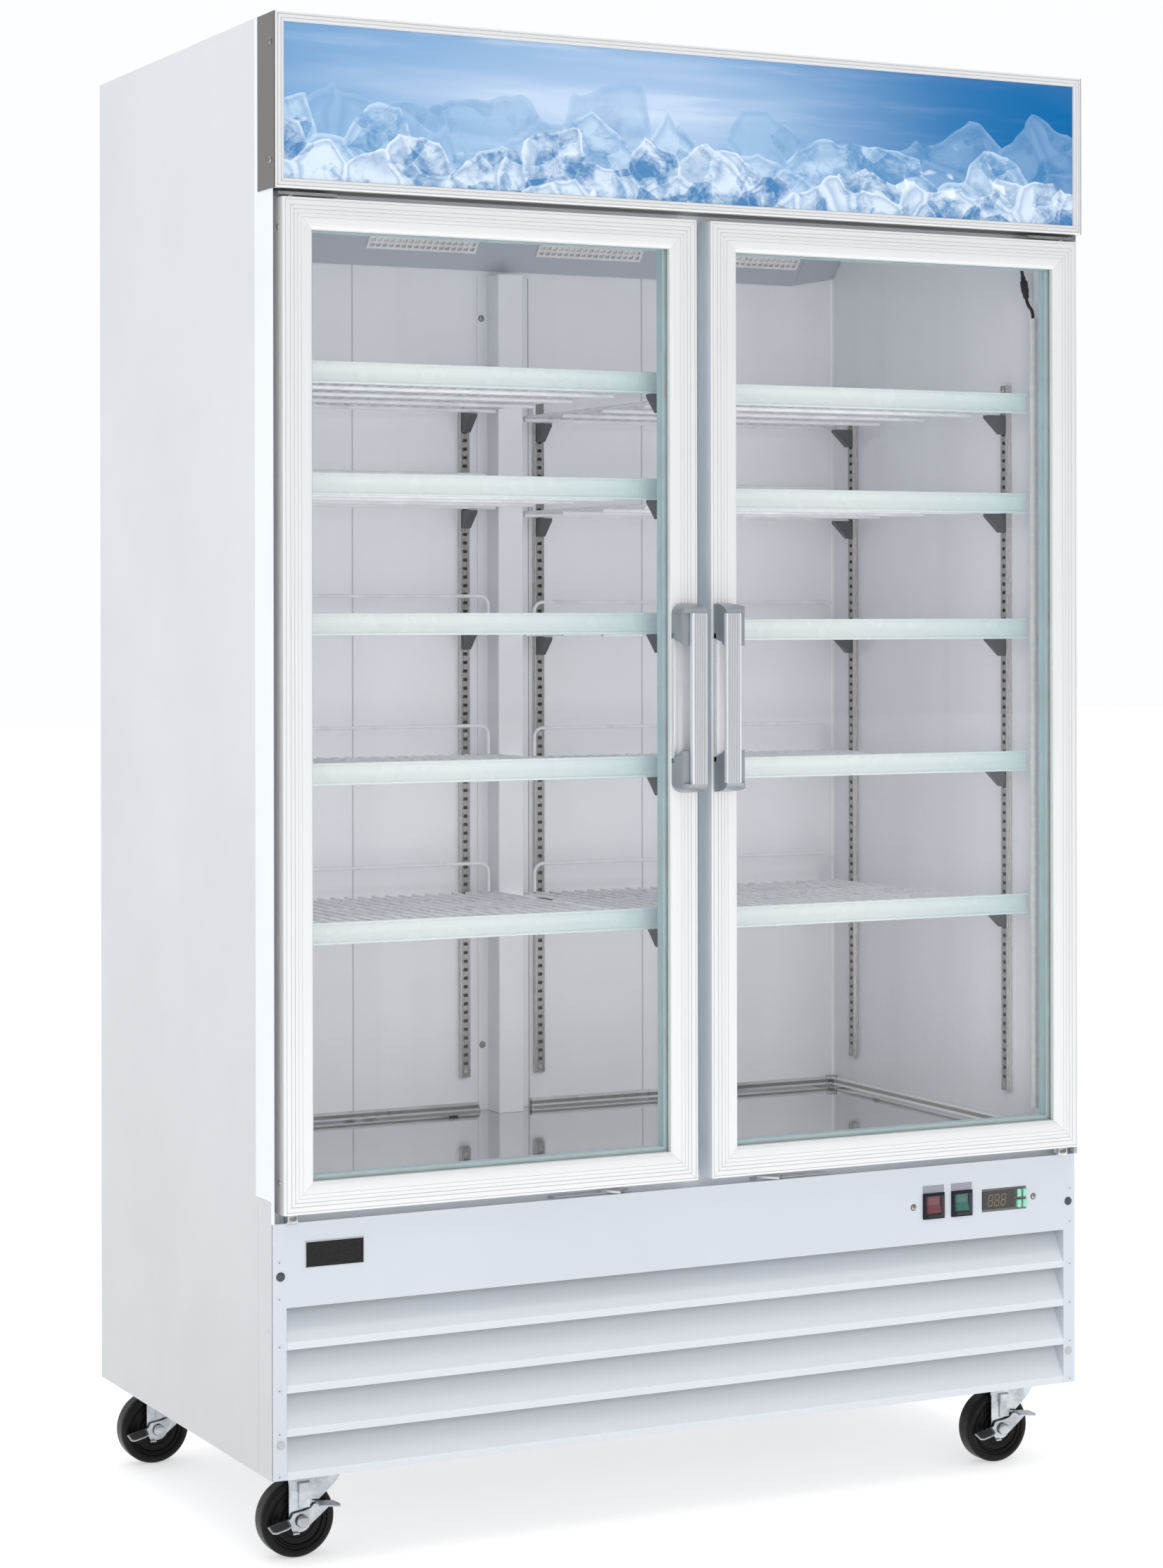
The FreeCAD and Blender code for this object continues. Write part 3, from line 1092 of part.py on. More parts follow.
def caster_brake():
    """Brake lever on the axle line outside the front leg: a flat arm with a pedal at each end."""
    x = -CASTER_TRAIL
    inner_y = -FORK_HALF_GAP - FORK_SHEET - 0.4
    arm_y = inner_y - 2.4
    arm = [(x - 36.0, 52.0), (x - 12.0, 40.0), (x + 12.0, 40.0), (x + 34.0, 54.0), (x + 34.0, 60.0),
           (x + 10.0, 58.0), (x - 10.0, 60.0), (x - 36.0, 59.0)]
    lever = prism_along_y(arm, arm_y, inner_y)
    left_pedal = block(x - 38.0, x - 16.0, arm_y - 17.0, inner_y, 56.5, 59.5)
    right_pedal = block(x + 16.0, x + 36.0, arm_y - 15.0, inner_y, 57.0, 60.0)
    lever = lever.multiFuse([left_pedal, right_pedal])
    axle_hole = rod(AXLE_RADIUS + RUNNING_FIT, Vector(x, arm_y - 20.0, WHEEL_RADIUS),
                    Vector(x, inner_y + 1.0, WHEEL_RADIUS))
    return lever.cut(axle_hole).removeSplitter()


def caster_places():
    """Name and swivel axis of each caster."""
    return (
        ("front_left", Vector(-CASTER_X, CASTER_FRONT_Y, 0)),
        ("front_right", Vector(CASTER_X, CASTER_FRONT_Y, 0)),
        ("rear_left", Vector(-CASTER_X, CASTER_REAR_Y, 0)),
        ("rear_right", Vector(CASTER_X, CASTER_REAR_Y, 0)),
    )


# ---------------------------------------------------------------- assembly
def build_cabinet():
    """Everything that stays put when the doors, fans and casters move."""
    save("base_pan", base_pan())
    save("side_panels", side_panels())
    save("back_panel", back_panel())
    save("roof_panel", roof_panel())
    save("foam_insulation", foam_insulation())
    save("inner_liner", inner_liner())
    save("front_frame", front_frame())
    save("mullion", mullion())
    save("floor_pan", floor_pan())
    save("rear_column", rear_column())
    save("shelf_standards", shelf_standards())
    save("shelf_clips", shelf_clips())
    rack = shelf_rack()
    rail = shelf_rail()
    save("shelves_left", shelves(SHELF_LEVELS_LEFT, -1, rack, rail))
    save("shelves_right", shelves(SHELF_LEVELS_RIGHT, 1, rack, rail))
    save("price_strips", price_strips())
    save("sign_housing", sign_housing())
    save("sign_frame", sign_frame())
    save("sign_panel", sign_panel())
    save("hinge_brackets", hinge_brackets())
    save("grille_panel", grille_panel())
    save("panel_fasteners", panel_fasteners())
    save("led_lights", led_lights())
    save("led_leads", led_leads())


def build_controls():
    """Switches and temperature controller."""
    save("controller_case", controller_case())
    for i, (x, z) in enumerate(button_centres()):
        save("controller_button_" + str(i + 1), controller_button(x, z))
    save("switch_bezels", switch_bezels())
    save("power_rocker", rocker(POWER_SWITCH_X))
    save("light_rocker", rocker(LIGHT_SWITCH_X))


def build_refrigeration():
    """Cooling parts above the shelves and in the machine compartment."""
    save("evaporator_cover", evaporator_cover())
    save("evaporator_coil", evaporator_coil())
    for name, middle in zip(("left", "right"), fan_middles()):
        save("evaporator_fan_" + name, fan_rotor(42.0, 14.0, 20.0, middle, fan_axis(), 5))
    save("compressor", compressor())
    save("condenser_coil", condenser_coil())
    save("condenser_fan", fan_rotor(102.0, 24.0, 24.0, condenser_fan_middle(), Vector(0, -1, 0), 5))
    save("condenser_shroud", condenser_shroud())


def build_doors():
    """Both doors, the left one as the mirror image of the right one."""
    makers = (("frame", door_frame), ("glass", door_glass), ("gasket", door_gasket), ("handle", door_handle))
    for name, maker in makers:
        solids = maker()
        save("door_" + name + "_right", solids)
        save("door_" + name + "_left", [mirror_x(solid) for solid in solids])


def build_casters():
    """Four casters with the same hand, all turned the same way."""
    plates = []
    for corner, place in caster_places():
        plates.append(caster_plate().translated(place))
        save("caster_fork_" + corner, [solid.translated(place) for solid in caster_fork()])
        save("caster_wheel_" + corner, [caster_wheel().translated(place)])
        save("caster_brake_" + corner, [caster_brake().translated(place)])
    save("caster_plates", plates)


os.makedirs("parts", exist_ok=True)
build_cabinet()
build_controls()
build_refrigeration()
build_doors()
build_casters()
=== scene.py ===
import json
from math import cos, pi, radians, sin, sqrt

import bmesh
import bpy
from mathutils import Matrix, Vector

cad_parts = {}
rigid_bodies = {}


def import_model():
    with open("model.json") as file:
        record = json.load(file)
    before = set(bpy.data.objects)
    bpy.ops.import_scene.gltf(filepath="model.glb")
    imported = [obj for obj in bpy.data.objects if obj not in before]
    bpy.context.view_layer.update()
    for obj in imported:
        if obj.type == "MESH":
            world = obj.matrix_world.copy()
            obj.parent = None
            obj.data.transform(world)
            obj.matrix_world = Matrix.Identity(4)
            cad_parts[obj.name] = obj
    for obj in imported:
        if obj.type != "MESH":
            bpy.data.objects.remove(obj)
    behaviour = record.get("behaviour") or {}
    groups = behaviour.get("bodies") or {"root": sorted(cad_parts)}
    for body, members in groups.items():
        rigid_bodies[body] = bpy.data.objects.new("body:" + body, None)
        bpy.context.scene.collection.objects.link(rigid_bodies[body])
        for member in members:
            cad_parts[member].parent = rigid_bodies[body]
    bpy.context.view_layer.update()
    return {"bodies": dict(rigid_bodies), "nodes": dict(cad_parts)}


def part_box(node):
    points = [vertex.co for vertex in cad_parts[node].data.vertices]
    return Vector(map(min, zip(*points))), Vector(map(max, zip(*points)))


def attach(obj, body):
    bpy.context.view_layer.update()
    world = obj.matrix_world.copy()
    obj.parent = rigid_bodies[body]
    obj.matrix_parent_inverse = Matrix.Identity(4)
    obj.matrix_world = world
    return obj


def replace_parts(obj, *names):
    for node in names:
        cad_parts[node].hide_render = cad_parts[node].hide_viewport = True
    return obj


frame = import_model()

MM = 0.001
nodes = frame["nodes"]
SIDES = (-1, 1)
FLOOR_TOP = 0.4623        # inner floor sheet
FLANGE_X = 0.600          # where the door frame's side flanges start


def box_mm(node):
    """Lowest and highest corner of a CAD node, in mm."""
    low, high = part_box(node)
    return low / MM, high / MM


# ---------------------------------------------------------------- camera
IMAGE_HEIGHT = 2227
FOCAL_PIXELS = 4785.3
HORIZON_PIXEL = 871.65
YAW = 26.802
ROLL = 0.0927
camera_data = bpy.data.cameras.new("camera")
camera = bpy.data.objects.new("camera", camera_data)
bpy.context.scene.collection.objects.link(camera)
camera_data.sensor_width = 36.0
camera_data.lens = FOCAL_PIXELS / IMAGE_HEIGHT * camera_data.sensor_width
camera_data.shift_y = (HORIZON_PIXEL - IMAGE_HEIGHT / 2) / IMAGE_HEIGHT
camera_data.clip_start = 0.1
camera_data.clip_end = 60.0
camera.location = (-2.1685, -4.2525, 1.2036)
camera.rotation_euler = (radians(90.0), radians(ROLL), -radians(YAW))
bpy.context.scene.camera = camera


# ---------------------------------------------------------------- materials
class Nodes:
    """A node tree with short ways to add nodes to it. Place is the coordinate that its textures use."""

    def __init__(self, tree, coordinate):
        self.tree = tree
        self.place = self.node("ShaderNodeTexCoord").outputs[coordinate]

    def node(self, kind, **values):
        made = self.tree.nodes.new(kind)
        for key, value in values.items():
            setattr(made, key, value)
        return made

    def feed(self, socket, value):
        if isinstance(value, bpy.types.NodeSocket):
            self.tree.links.new(value, socket)
        else:
            socket.default_value = value

    def stretch(self, scale, turn=(0.0, 0.0, 0.0)):
        mapping = self.node("ShaderNodeMapping")
        self.feed(mapping.inputs["Vector"], self.place)
        mapping.inputs["Scale"].default_value = scale
        mapping.inputs["Rotation"].default_value = turn
        return mapping.outputs[0]

    def noise(self, scale, detail=3.0, rough=0.55, where=None, distort=0.0, output="Fac"):
        made = self.node("ShaderNodeTexNoise")
        self.feed(made.inputs["Vector"], where or self.place)
        made.inputs["Scale"].default_value = scale
        made.inputs["Detail"].default_value = detail
        made.inputs["Roughness"].default_value = rough
        made.inputs["Distortion"].default_value = distort
        return made.outputs[output]

    def voronoi(self, scale, output="Distance", feature="F1", where=None):
        made = self.node("ShaderNodeTexVoronoi", feature=feature)
        self.feed(made.inputs["Vector"], where or self.place)
        made.inputs["Scale"].default_value = scale
        return made.outputs[output]

    def span(self, value, low, high, to_low=0.0, to_high=1.0, smooth=False):
        made = self.node("ShaderNodeMapRange", interpolation_type="SMOOTHSTEP" if smooth else "LINEAR")
        for socket, given in zip(made.inputs, (value, low, high, to_low, to_high)):
            self.feed(socket, given)
        return made.outputs[0]

    def math(self, operation, first, second=0.0, third=0.0):
        made = self.node("ShaderNodeMath", operation=operation)
        for socket, given in zip(made.inputs, (first, second, third)):
            self.feed(socket, given)
        return made.outputs[0]

    def times(self, first, second):
        return self.math("MULTIPLY", first, second)

    def vector(self, operation, *given):
        made = self.node("ShaderNodeVectorMath", operation=operation)
        for socket, value in zip(made.inputs, given):
            self.feed(socket, value)
        return made.outputs[0]

    def mix(self, share, first, second):
        made = self.node("ShaderNodeMix", data_type="RGBA", blend_type="MIX")
        self.feed(made.inputs["Factor"], share)
        for socket, given in ((made.inputs[6], first), (made.inputs[7], second)):
            self.feed(socket, given if isinstance(given, bpy.types.NodeSocket) else (*given, 1.0))
        return made.outputs[2]

    def axes(self, source=None):
        made = self.node("ShaderNodeSeparateXYZ")
        self.feed(made.inputs[0], source or self.place)
        return made.outputs[0], made.outputs[1], made.outputs[2]


class Finish(Nodes):
    """A material under construction, with its Principled shader."""

    def __init__(self, name, rough=0.5, metal=0.0, **inputs):
        self.material = bpy.data.materials.new(name)
        self.material.use_nodes = True
        super().__init__(self.material.node_tree, "Object")
        self.shader = self.tree.nodes["Principled BSDF"]
        for key, value in dict(inputs, Roughness=rough, Metallic=metal).items():
            self.shader.inputs[key.replace("_", " ")].default_value = value

    def bump(self, height, depth, strength=1.0):
        made = self.node("ShaderNodeBump")
        made.inputs["Strength"].default_value = strength
        made.inputs["Distance"].default_value = depth
        self.feed(made.inputs["Height"], height)
        if self.shader.inputs["Normal"].is_linked:
            self.feed(made.inputs["Normal"], self.shader.inputs["Normal"].links[0].from_socket)
        self.feed(self.shader.inputs["Normal"], made.outputs[0])

    def colour(self, value):
        given = value if isinstance(value, bpy.types.NodeSocket) else (*value, 1.0)
        self.feed(self.shader.inputs["Base Color"], given)

    def roughness(self, value):
        self.feed(self.shader.inputs["Roughness"], value)


def scaled(colour, factor):
    return tuple(min(1.0, c * factor) for c in colour)


def coated(name, colour, rough=0.42, grime=0.05, glow=0.0, fade=0.0):
    """Powder-coated sheet steel: orange peel, faint cloudiness, a little dust low down, painted shade that
    darkens it towards the bottom, and an optional painted glow.
    """
    f = Finish(name, rough, Emission_Color=(*colour, 1.0), Emission_Strength=glow)
    clouds = f.noise(2.2, 4.0)
    specks = f.noise(420.0, 2.0)
    base = f.mix(f.span(clouds, 0.3, 0.7), scaled(colour, 1.0 - grime), scaled(colour, 1.02))
    height = f.axes()[2]
    dust = f.times(f.span(height, 0.55, 0.1, smooth=True), f.span(f.noise(9.0, 5.0), 0.35, 0.8))
    base = f.mix(f.times(dust, 0.1), base, scaled(colour, 0.8))
    # Painted shade: the enamel darkens towards the bottom.
    base = f.mix(f.span(height, 1.15, 0.2, 0.0, fade), base, scaled(colour, 0.5))
    f.colour(f.mix(f.span(specks, 0.62, 0.8, 0.0, 0.05), base, scaled(colour, 0.82)))
    f.roughness(f.span(f.noise(14.0, 4.0), 0.3, 0.7, rough - 0.05, rough + 0.07))
    f.bump(f.noise(650.0, 2.0), 0.00012, 0.35)
    f.bump(f.noise(5.0, 2.0), 0.0015, 0.12)
    # Painted light: the enamel emits a little of its own colour so that shaded gaps read pale, half as much
    # beyond FLANGE_X.
    if glow:
        f.feed(f.shader.inputs["Emission Strength"],
               f.span(f.math("ABSOLUTE", f.axes()[0]), FLANGE_X, FLANGE_X + 0.002, glow, glow * 0.5))
    return f


def enamel(*given, **named):
    return coated(*given, **named).material


def louvred(name, colour, rough, first, pitch, count):
    """Sheet enamel with a painted highlight along the upper edge of each louvre's lip, and painted light
    that lifts the panel below the top louvre.
    """
    f = coated(name, colour, rough)
    across, _, height = f.axes()
    rows = f.math("DIVIDE", f.math("SUBTRACT", height, first - pitch * (count - 0.5)), pitch)
    step = f.math("FRACT", rows)
    # Painted highlight: a thin pale line at the crease on top of each lip.
    line = f.span(f.math("ABSOLUTE", f.math("SUBTRACT", step, 0.5)), 0.008, 0.022, 1.0, 0.0)
    low = f.span(height, first + pitch * 0.3, first + pitch * 0.2)
    inside = f.span(f.math("ABSOLUTE", across), 0.588, 0.5885, 1.0, 0.0)
    base = f.shader.inputs["Base Color"].links[0].from_socket
    crease = f.times(f.times(line, low), f.times(inside, 0.28))
    # Painted light: the panel below the top louvre is lifted towards white.
    painted_low_lift = f.times(low, f.times(inside, 0.22))
    f.colour(f.mix(crease, f.mix(painted_low_lift, base, (0.93, 0.95, 0.98)), (0.93, 0.95, 0.97)))
    return f.material


def satin_metal(name, colour, grain=(1, 1, 60), rough=0.34, depth=0.00004, wear=0.08, metal=1.0):
    """Extruded or rolled metal with fine lines along one axis."""
    f = Finish(name, rough, metal)
    lines = f.noise(26.0, 3.0, 0.6, f.stretch(grain))
    clouds = f.noise(7.0, 4.0)
    tone = f.mix(f.span(lines, 0.3, 0.7), scaled(colour, 1.0 - wear), scaled(colour, 1.03))
    f.colour(f.mix(f.span(clouds, 0.45, 0.8, 0.0, 0.3), tone, scaled(colour, 1.0 - wear * 1.6)))
    f.roughness(f.span(lines, 0.3, 0.7, rough - 0.06, rough + 0.08))
    f.bump(lines, depth, 0.5)
    return f.material


def zinc(name, colour=(0.66, 0.70, 0.74), rough=0.2):
    """Bright zinc plating: faint spangle and cool and warm patches."""
    f = Finish(name, rough, 1.0)
    spangle = f.axes(f.voronoi(300.0, "Color"))[0]
    cool = f.mix(f.span(f.noise(45.0, 3.0), 0.35, 0.65), scaled(colour, 0.62), colour)
    tone = f.mix(f.span(f.noise(22.0, 4.0, distort=1.0), 0.52, 0.75, 0.0, 0.3), cool, (0.62, 0.58, 0.50))
    f.colour(f.mix(f.times(spangle, 0.12), tone, (0.92, 0.94, 0.96)))
    f.roughness(f.span(f.noise(60.0, 4.0), 0.3, 0.7, rough - 0.07, rough + 0.1))
    f.bump(f.noise(70.0, 3.0), 0.0004, 0.35)
    return f.material


def plastic(name, colour, rough=0.4, grain=900.0, depth=0.00005, **inputs):
    """Moulded plastic or rubber with a fine grain and uneven sheen."""
    f = Finish(name, rough, **inputs)
    f.colour(f.mix(f.span(f.noise(30.0, 4.0), 0.3, 0.75), scaled(colour, 0.9), scaled(colour, 1.08)))
    f.roughness(f.span(f.noise(18.0, 4.0), 0.3, 0.7, rough - 0.06, rough + 0.08))
    f.bump(f.noise(grain, 2.0), depth, 0.5)
    return f.material


def speckled(name, colour, fleck):
    """Textured coating with fine pale flecks."""
    f = Finish(name, 0.5, Specular_IOR_Level=0.3)
    f.colour(f.mix(f.span(f.noise(900.0, 3.0, 0.7), 0.6, 0.75), colour, fleck))
    f.bump(f.noise(700.0, 3.0), 0.0003, 0.5)
    return f.material


def pane(name, tint=(0.93, 0.97, 0.97), haze=0.002):
    """A thin sheet of clear glass: what isn't mirrored passes straight through."""
    f = Finish(name, 0.02, 1.0)
    fresnel = f.node("ShaderNodeFresnel")
    fresnel.inputs["IOR"].default_value = 1.45
    smear = f.span(f.noise(6.0, 5.0, distort=0.6), 0.35, 0.8, 0.0, haze)
    f.feed(f.shader.inputs["Alpha"], f.math("MULTIPLY_ADD", fresnel.outputs[0], 0.2, smear))
    f.colour(tint)
    f.bump(f.noise(1.5, 1.0), 0.0004, 0.06)
    return f.material


def sheet_steel_floor():
    """Polished stainless sheet, slightly wavy so that its mirror images waver, and its cove trims with
    painted reflections: bright and dark bands along their length.
    """
    f = Finish("stainless_floor", 0.05, 1.0)
    lines = f.noise(30.0, 3.0, 0.6, f.stretch((1, 40, 1)))
    sheet = f.mix(f.span(lines, 0.3, 0.7), (0.64, 0.635, 0.66), (0.72, 0.715, 0.74))
    height = f.axes()[2]
    # Painted reflection: bright and dark bands along the cove trims, set by height.
    band = f.math("SINE", f.times(height, 760.0))
    trim_reflections = f.mix(f.span(band, -0.5, 0.6, smooth=True), (0.30, 0.28, 0.275), (0.86, 0.85, 0.84))
    trim_reflections = f.mix(f.span(f.noise(5.0, 3.0), 0.4, 0.7, 0.0, 0.3), trim_reflections, (0.50, 0.47, 0.46))
    f.colour(f.mix(f.span(height, FLOOR_TOP + 0.0006, FLOOR_TOP + 0.0012), sheet, trim_reflections))
    f.roughness(f.span(f.noise(24.0, 5.0), 0.35, 0.75, 0.03, 0.09))
    f.bump(f.noise(6.0, 2.0), 0.004, 0.10)
    f.bump(f.noise(900.0, 2.0), 0.00003, 0.2)
    return f.material


def liner():
    """White liner sheets: soft gloss, the folded seams of the back wall, and a painted highlight down the
    back corners.
    """
    colour = (0.88, 0.89, 0.915)
    f = Finish("liner_enamel", 0.22)
    x, y, z = f.axes()
    aside = f.math("ABSOLUTE", f.math("SUBTRACT", f.math("ABSOLUTE", x), 0.24))
    back = f.span(y, 0.300, 0.304)
    line = f.times(f.span(aside, 0.0008, 0.0016, 1.0, 0.0), back)
    base = f.mix(f.span(f.noise(1.8, 4.0), 0.3, 0.7), scaled(colour, 0.94), scaled(colour, 1.02))
    streaks = f.span(f.noise(1.0, 3.0, 0.6, f.stretch((14, 14, 1.2))), 0.5, 0.72, 0.0, 0.35)
    base = f.mix(streaks, base, scaled(colour, 0.86))
    # Painted highlight: a near-white strip down each back corner.
    corner = f.times(f.span(f.math("ABSOLUTE", x), 0.5765, 0.5775), f.span(y, 0.303, 0.306))
    base = f.mix(f.times(corner, 0.8), base, (1.0, 1.0, 1.0))
    f.colour(f.mix(f.times(line, 0.42), base, (0.18, 0.18, 0.2)))
    f.roughness(f.span(f.noise(10.0, 4.0), 0.3, 0.7, 0.13, 0.24))
    f.bump(f.noise(500.0, 2.0), 0.00005, 0.2)
    f.bump(f.noise(2.5, 2.0), 0.004, 0.12)
    f.bump(line, -0.0006, 0.5)
    return f.material


def poster():
    """The lit sign's print: a generic heap of ice under a streaked blue sky."""
    f = Finish("sign_print", 0.25, Specular_IOR_Level=0.15)
    x, y, z = f.axes()
    low, high = [corner.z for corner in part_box("sign_panel")]
    up = f.span(z, low, high)
    pale = f.span(f.math("ABSOLUTE", f.math("ADD", x, 0.15)), 0.0, 0.58, 0.85, 0.0, True)
    sky = f.mix(f.span(x, -0.1, 0.6, smooth=True), (0.15, 0.32, 0.56), (0.004, 0.135, 0.37))
    sky = f.mix(f.times(pale, f.span(up, 1.05, 0.55, 0.45, 1.0)), sky, (0.44, 0.58, 0.77))
    slope = (0, 0.05, 0)
    streak_a = f.span(f.noise(1.0, 3.0, 0.5, f.stretch((1.3, 1, 12), slope)), 0.47, 0.74, smooth=True)
    streak_b = f.span(f.noise(1.0, 4.0, 0.6, f.stretch((3.1, 1, 40), slope)), 0.5, 0.8, smooth=True)
    reach = f.span(pale, 0.0, 0.7, 0.15, 1.0)
    sky = f.mix(f.times(f.times(streak_a, reach), 0.75), sky, (0.62, 0.72, 0.85))
    sky = f.mix(f.times(f.times(streak_b, reach), 0.4), sky, (0.80, 0.88, 0.95))
    picture = sky
    # Each layer of the heap: cells per metre, height, wobble, shadow, light, cover and seed.
    layers = (
        (10.5, 0.56, 0.05, (0.10, 0.26, 0.48), (0.30, 0.47, 0.68), 0.55, 3.1),
        (12.5, 0.44, 0.045, (0.09, 0.25, 0.49), (0.48, 0.63, 0.79), 0.85, 7.7),
        (16.0, 0.27, 0.035, (0.055, 0.20, 0.43), (0.66, 0.76, 0.87), 0.92, 11.9),
    )
    for scale, level, wobble, dark, light, cover, seed in layers:
        shifted = f.vector("ADD", f.place, (seed, 0.0, seed * 0.37))
        warp = f.noise(scale * 1.2, 1.5, 0.5, shifted, output="Color")
        bent = f.vector("MULTIPLY_ADD", warp, (wobble, 0.0, wobble), shifted)
        cell = f.vector("MULTIPLY", bent, (1.0, 0.0, 1.15))
        centre = f.axes(f.voronoi(scale, "Position", where=cell))[2]
        edge = f.voronoi(scale, "Distance", "DISTANCE_TO_EDGE", where=cell)
        chance = f.axes(f.voronoi(scale, "Color", where=cell))[0]
        floor_z = low + seed * 0.37 + wobble * 0.5
        heap = f.span(f.math("DIVIDE", centre, 1.15), floor_z + (high - low) * level,
                      floor_z + (high - low) * (level - 0.03))
        rise = f.span(f.math("SUBTRACT", f.axes(cell)[2], centre), -0.05, 0.05)
        facet = f.axes(f.voronoi(scale * 2.3, "Color", where=cell))[1]
        swirl = f.span(f.noise(scale * 1.3, 5.0, 0.58, cell, 0.7), 0.36, 0.66)
        shade = f.math("MULTIPLY_ADD", swirl, 0.5, f.times(facet, 0.36))
        shade = f.math("MULTIPLY_ADD", rise, 0.3, shade)
        shade = f.math("MULTIPLY_ADD", chance, 0.3, shade)
        grain = f.span(f.noise(scale * 5.0, 4.0, 0.6, cell, 1.2), 0.35, 0.65)
        shade = f.math("MULTIPLY_ADD", grain, 0.22, shade)
        ice = f.mix(f.span(shade, 0.42, 1.12, smooth=True), dark, light)
        fold = f.voronoi(scale * 2.3, "Distance", "DISTANCE_TO_EDGE", where=cell)
        patchy = f.span(f.noise(scale * 1.1, 2.0, 0.5, cell), 0.42, 0.62)
        crease = f.times(f.span(fold, 0.0, 0.05, 1.0, 0.0, True), patchy)
        ice = f.mix(f.times(crease, 0.25), ice, scaled(light, 1.25))
        inner = f.times(f.span(edge, 0.03, 0.07), f.span(edge, 0.07, 0.16, 1.0, 0.0))
        ice = f.mix(f.times(inner, 0.4), ice, dark)
        border = f.span(edge, 0.004, 0.03, 1.0, 0.0, True)
        rim = f.times(border, f.span(patchy, 0.0, 1.0, 0.0, 0.28))
        ice = f.mix(rim, ice, scaled(light, 1.25))
        picture = f.mix(f.times(heap, cover), picture, ice)
    glint = f.times(f.span(f.noise(17.0, 2.0, distort=0.8), 0.66, 0.71), f.span(up, 0.55, 0.3))
    picture = f.mix(f.times(glint, 0.75), picture, (0.84, 0.90, 0.96))
    f.colour(picture)
    f.feed(f.shader.inputs["Emission Color"], picture)
    f.shader.inputs["Emission Strength"].default_value = 0.04
    f.bump(f.noise(300.0, 2.0), 0.00003, 0.3)
    return f.material


def light_tube():
    """Clear tube over a strip of small lamps, one every 16 mm."""
    f = Finish("light_tube", 0.18, Coat_Weight=0.5)
    z = f.axes()[2]
    step = f.math("FRACT", f.times(z, 62.0))
    chip = f.times(f.span(step, 0.32, 0.36), f.span(step, 0.60, 0.64, 1.0, 0.0))
    base = f.mix(f.noise(90.0, 4.0), (0.70, 0.72, 0.73), (0.90, 0.91, 0.92))
    f.colour(f.mix(f.times(chip, 0.4), base, (0.90, 0.87, 0.74)))
    f.bump(f.noise(160.0, 3.0), 0.0003, 0.3)
    return f.material


def strip_plastic():
    """Pale sea-green plastic of the price strips, with a painted highlight: each bay's strip is paler at its
    left end and more teal towards its right.
    """
    f = Finish("strip_plastic", 0.24, Coat_Weight=0.2)
    # Painted highlight: pale at each bay's left end, shading to teal at its right.
    along = f.math("FRACT", f.math("DIVIDE", f.math("ADD", f.axes()[0], 0.56), 0.594))
    base = f.mix(f.span(along, 0.35, 0.95, smooth=True), (0.80, 0.85, 0.855), (0.63, 0.76, 0.775))
    clouds = f.span(f.noise(5.0, 4.0, where=f.stretch((1, 1, 8))), 0.3, 0.7, 0.0, 0.25)
    f.colour(f.mix(clouds, base, (0.70, 0.80, 0.81)))
    f.roughness(f.span(f.noise(20.0, 4.0), 0.3, 0.7, 0.18, 0.32))
    f.bump(f.noise(3.0, 1.0, where=f.stretch((1, 1, 90))), 0.0002, 0.25)
    f.bump(f.noise(700.0, 2.0), 0.00003, 0.3)
    return f.material


WHITE = (0.70, 0.72, 0.745)
# The cabinet enamel carries painted shade towards the bottom.
cabinet_white = enamel("cabinet_enamel", WHITE, 0.40, fade=0.3)
# The frame enamel glows with painted light so that the shaded gaps round the doors read pale.
frame_white = enamel("frame_enamel", (0.80, 0.84, 0.89), 0.34, glow=0.11)
panel_white = louvred("panel_enamel", (0.655, 0.70, 0.75), 0.36, 0.2865, 0.0546, 4)
liner_white = liner()
galvanised = satin_metal("galvanised", (0.62, 0.64, 0.66), (1, 1, 8), 0.42, 0.00006, 0.2)
slotted_steel = satin_metal("slotted_steel", (0.46, 0.44, 0.435), (40, 40, 1), 0.3, 0.00006, 0.2, 0.7)
# Painted highlight: a lighter copy of the pilaster steel for the rolled edges and fixings.
highlight_steel = satin_metal("highlight_steel", (0.66, 0.645, 0.64), (40, 40, 1), 0.24, 0.00004, 0.1, 0.7)
slot_dark = plastic("slot_shadow", (0.16, 0.15, 0.15), 0.5)
cover_blue = enamel("cover_enamel", (0.50, 0.53, 0.585), 0.36)
floor_steel = sheet_steel_floor()
post_metal = satin_metal("post_aluminium", (0.86, 0.865, 0.87), (60, 60, 0.12), 0.36, 0.00001, 0.02, 0.35)
bar_metal = satin_metal("bar_aluminium", (0.86, 0.865, 0.87), (0.12, 60, 60), 0.36, 0.00001, 0.02, 0.35)
# Painted shade: a darker aluminium for the faces inside the profiles' grooves.
groove_shade_metal = satin_metal("groove_shade_aluminium", (0.66, 0.67, 0.69), (1, 1, 1), 0.42, 0.00002, 0.04, 0.15)
# Painted shade: the doors' outer side faces get a darker, warmer aluminium than their fronts.
side_metal = satin_metal("edge_aluminium_shaded", (0.66, 0.645, 0.635), (40, 8, 1), 0.34, 0.00003, 0.08, 0.25)
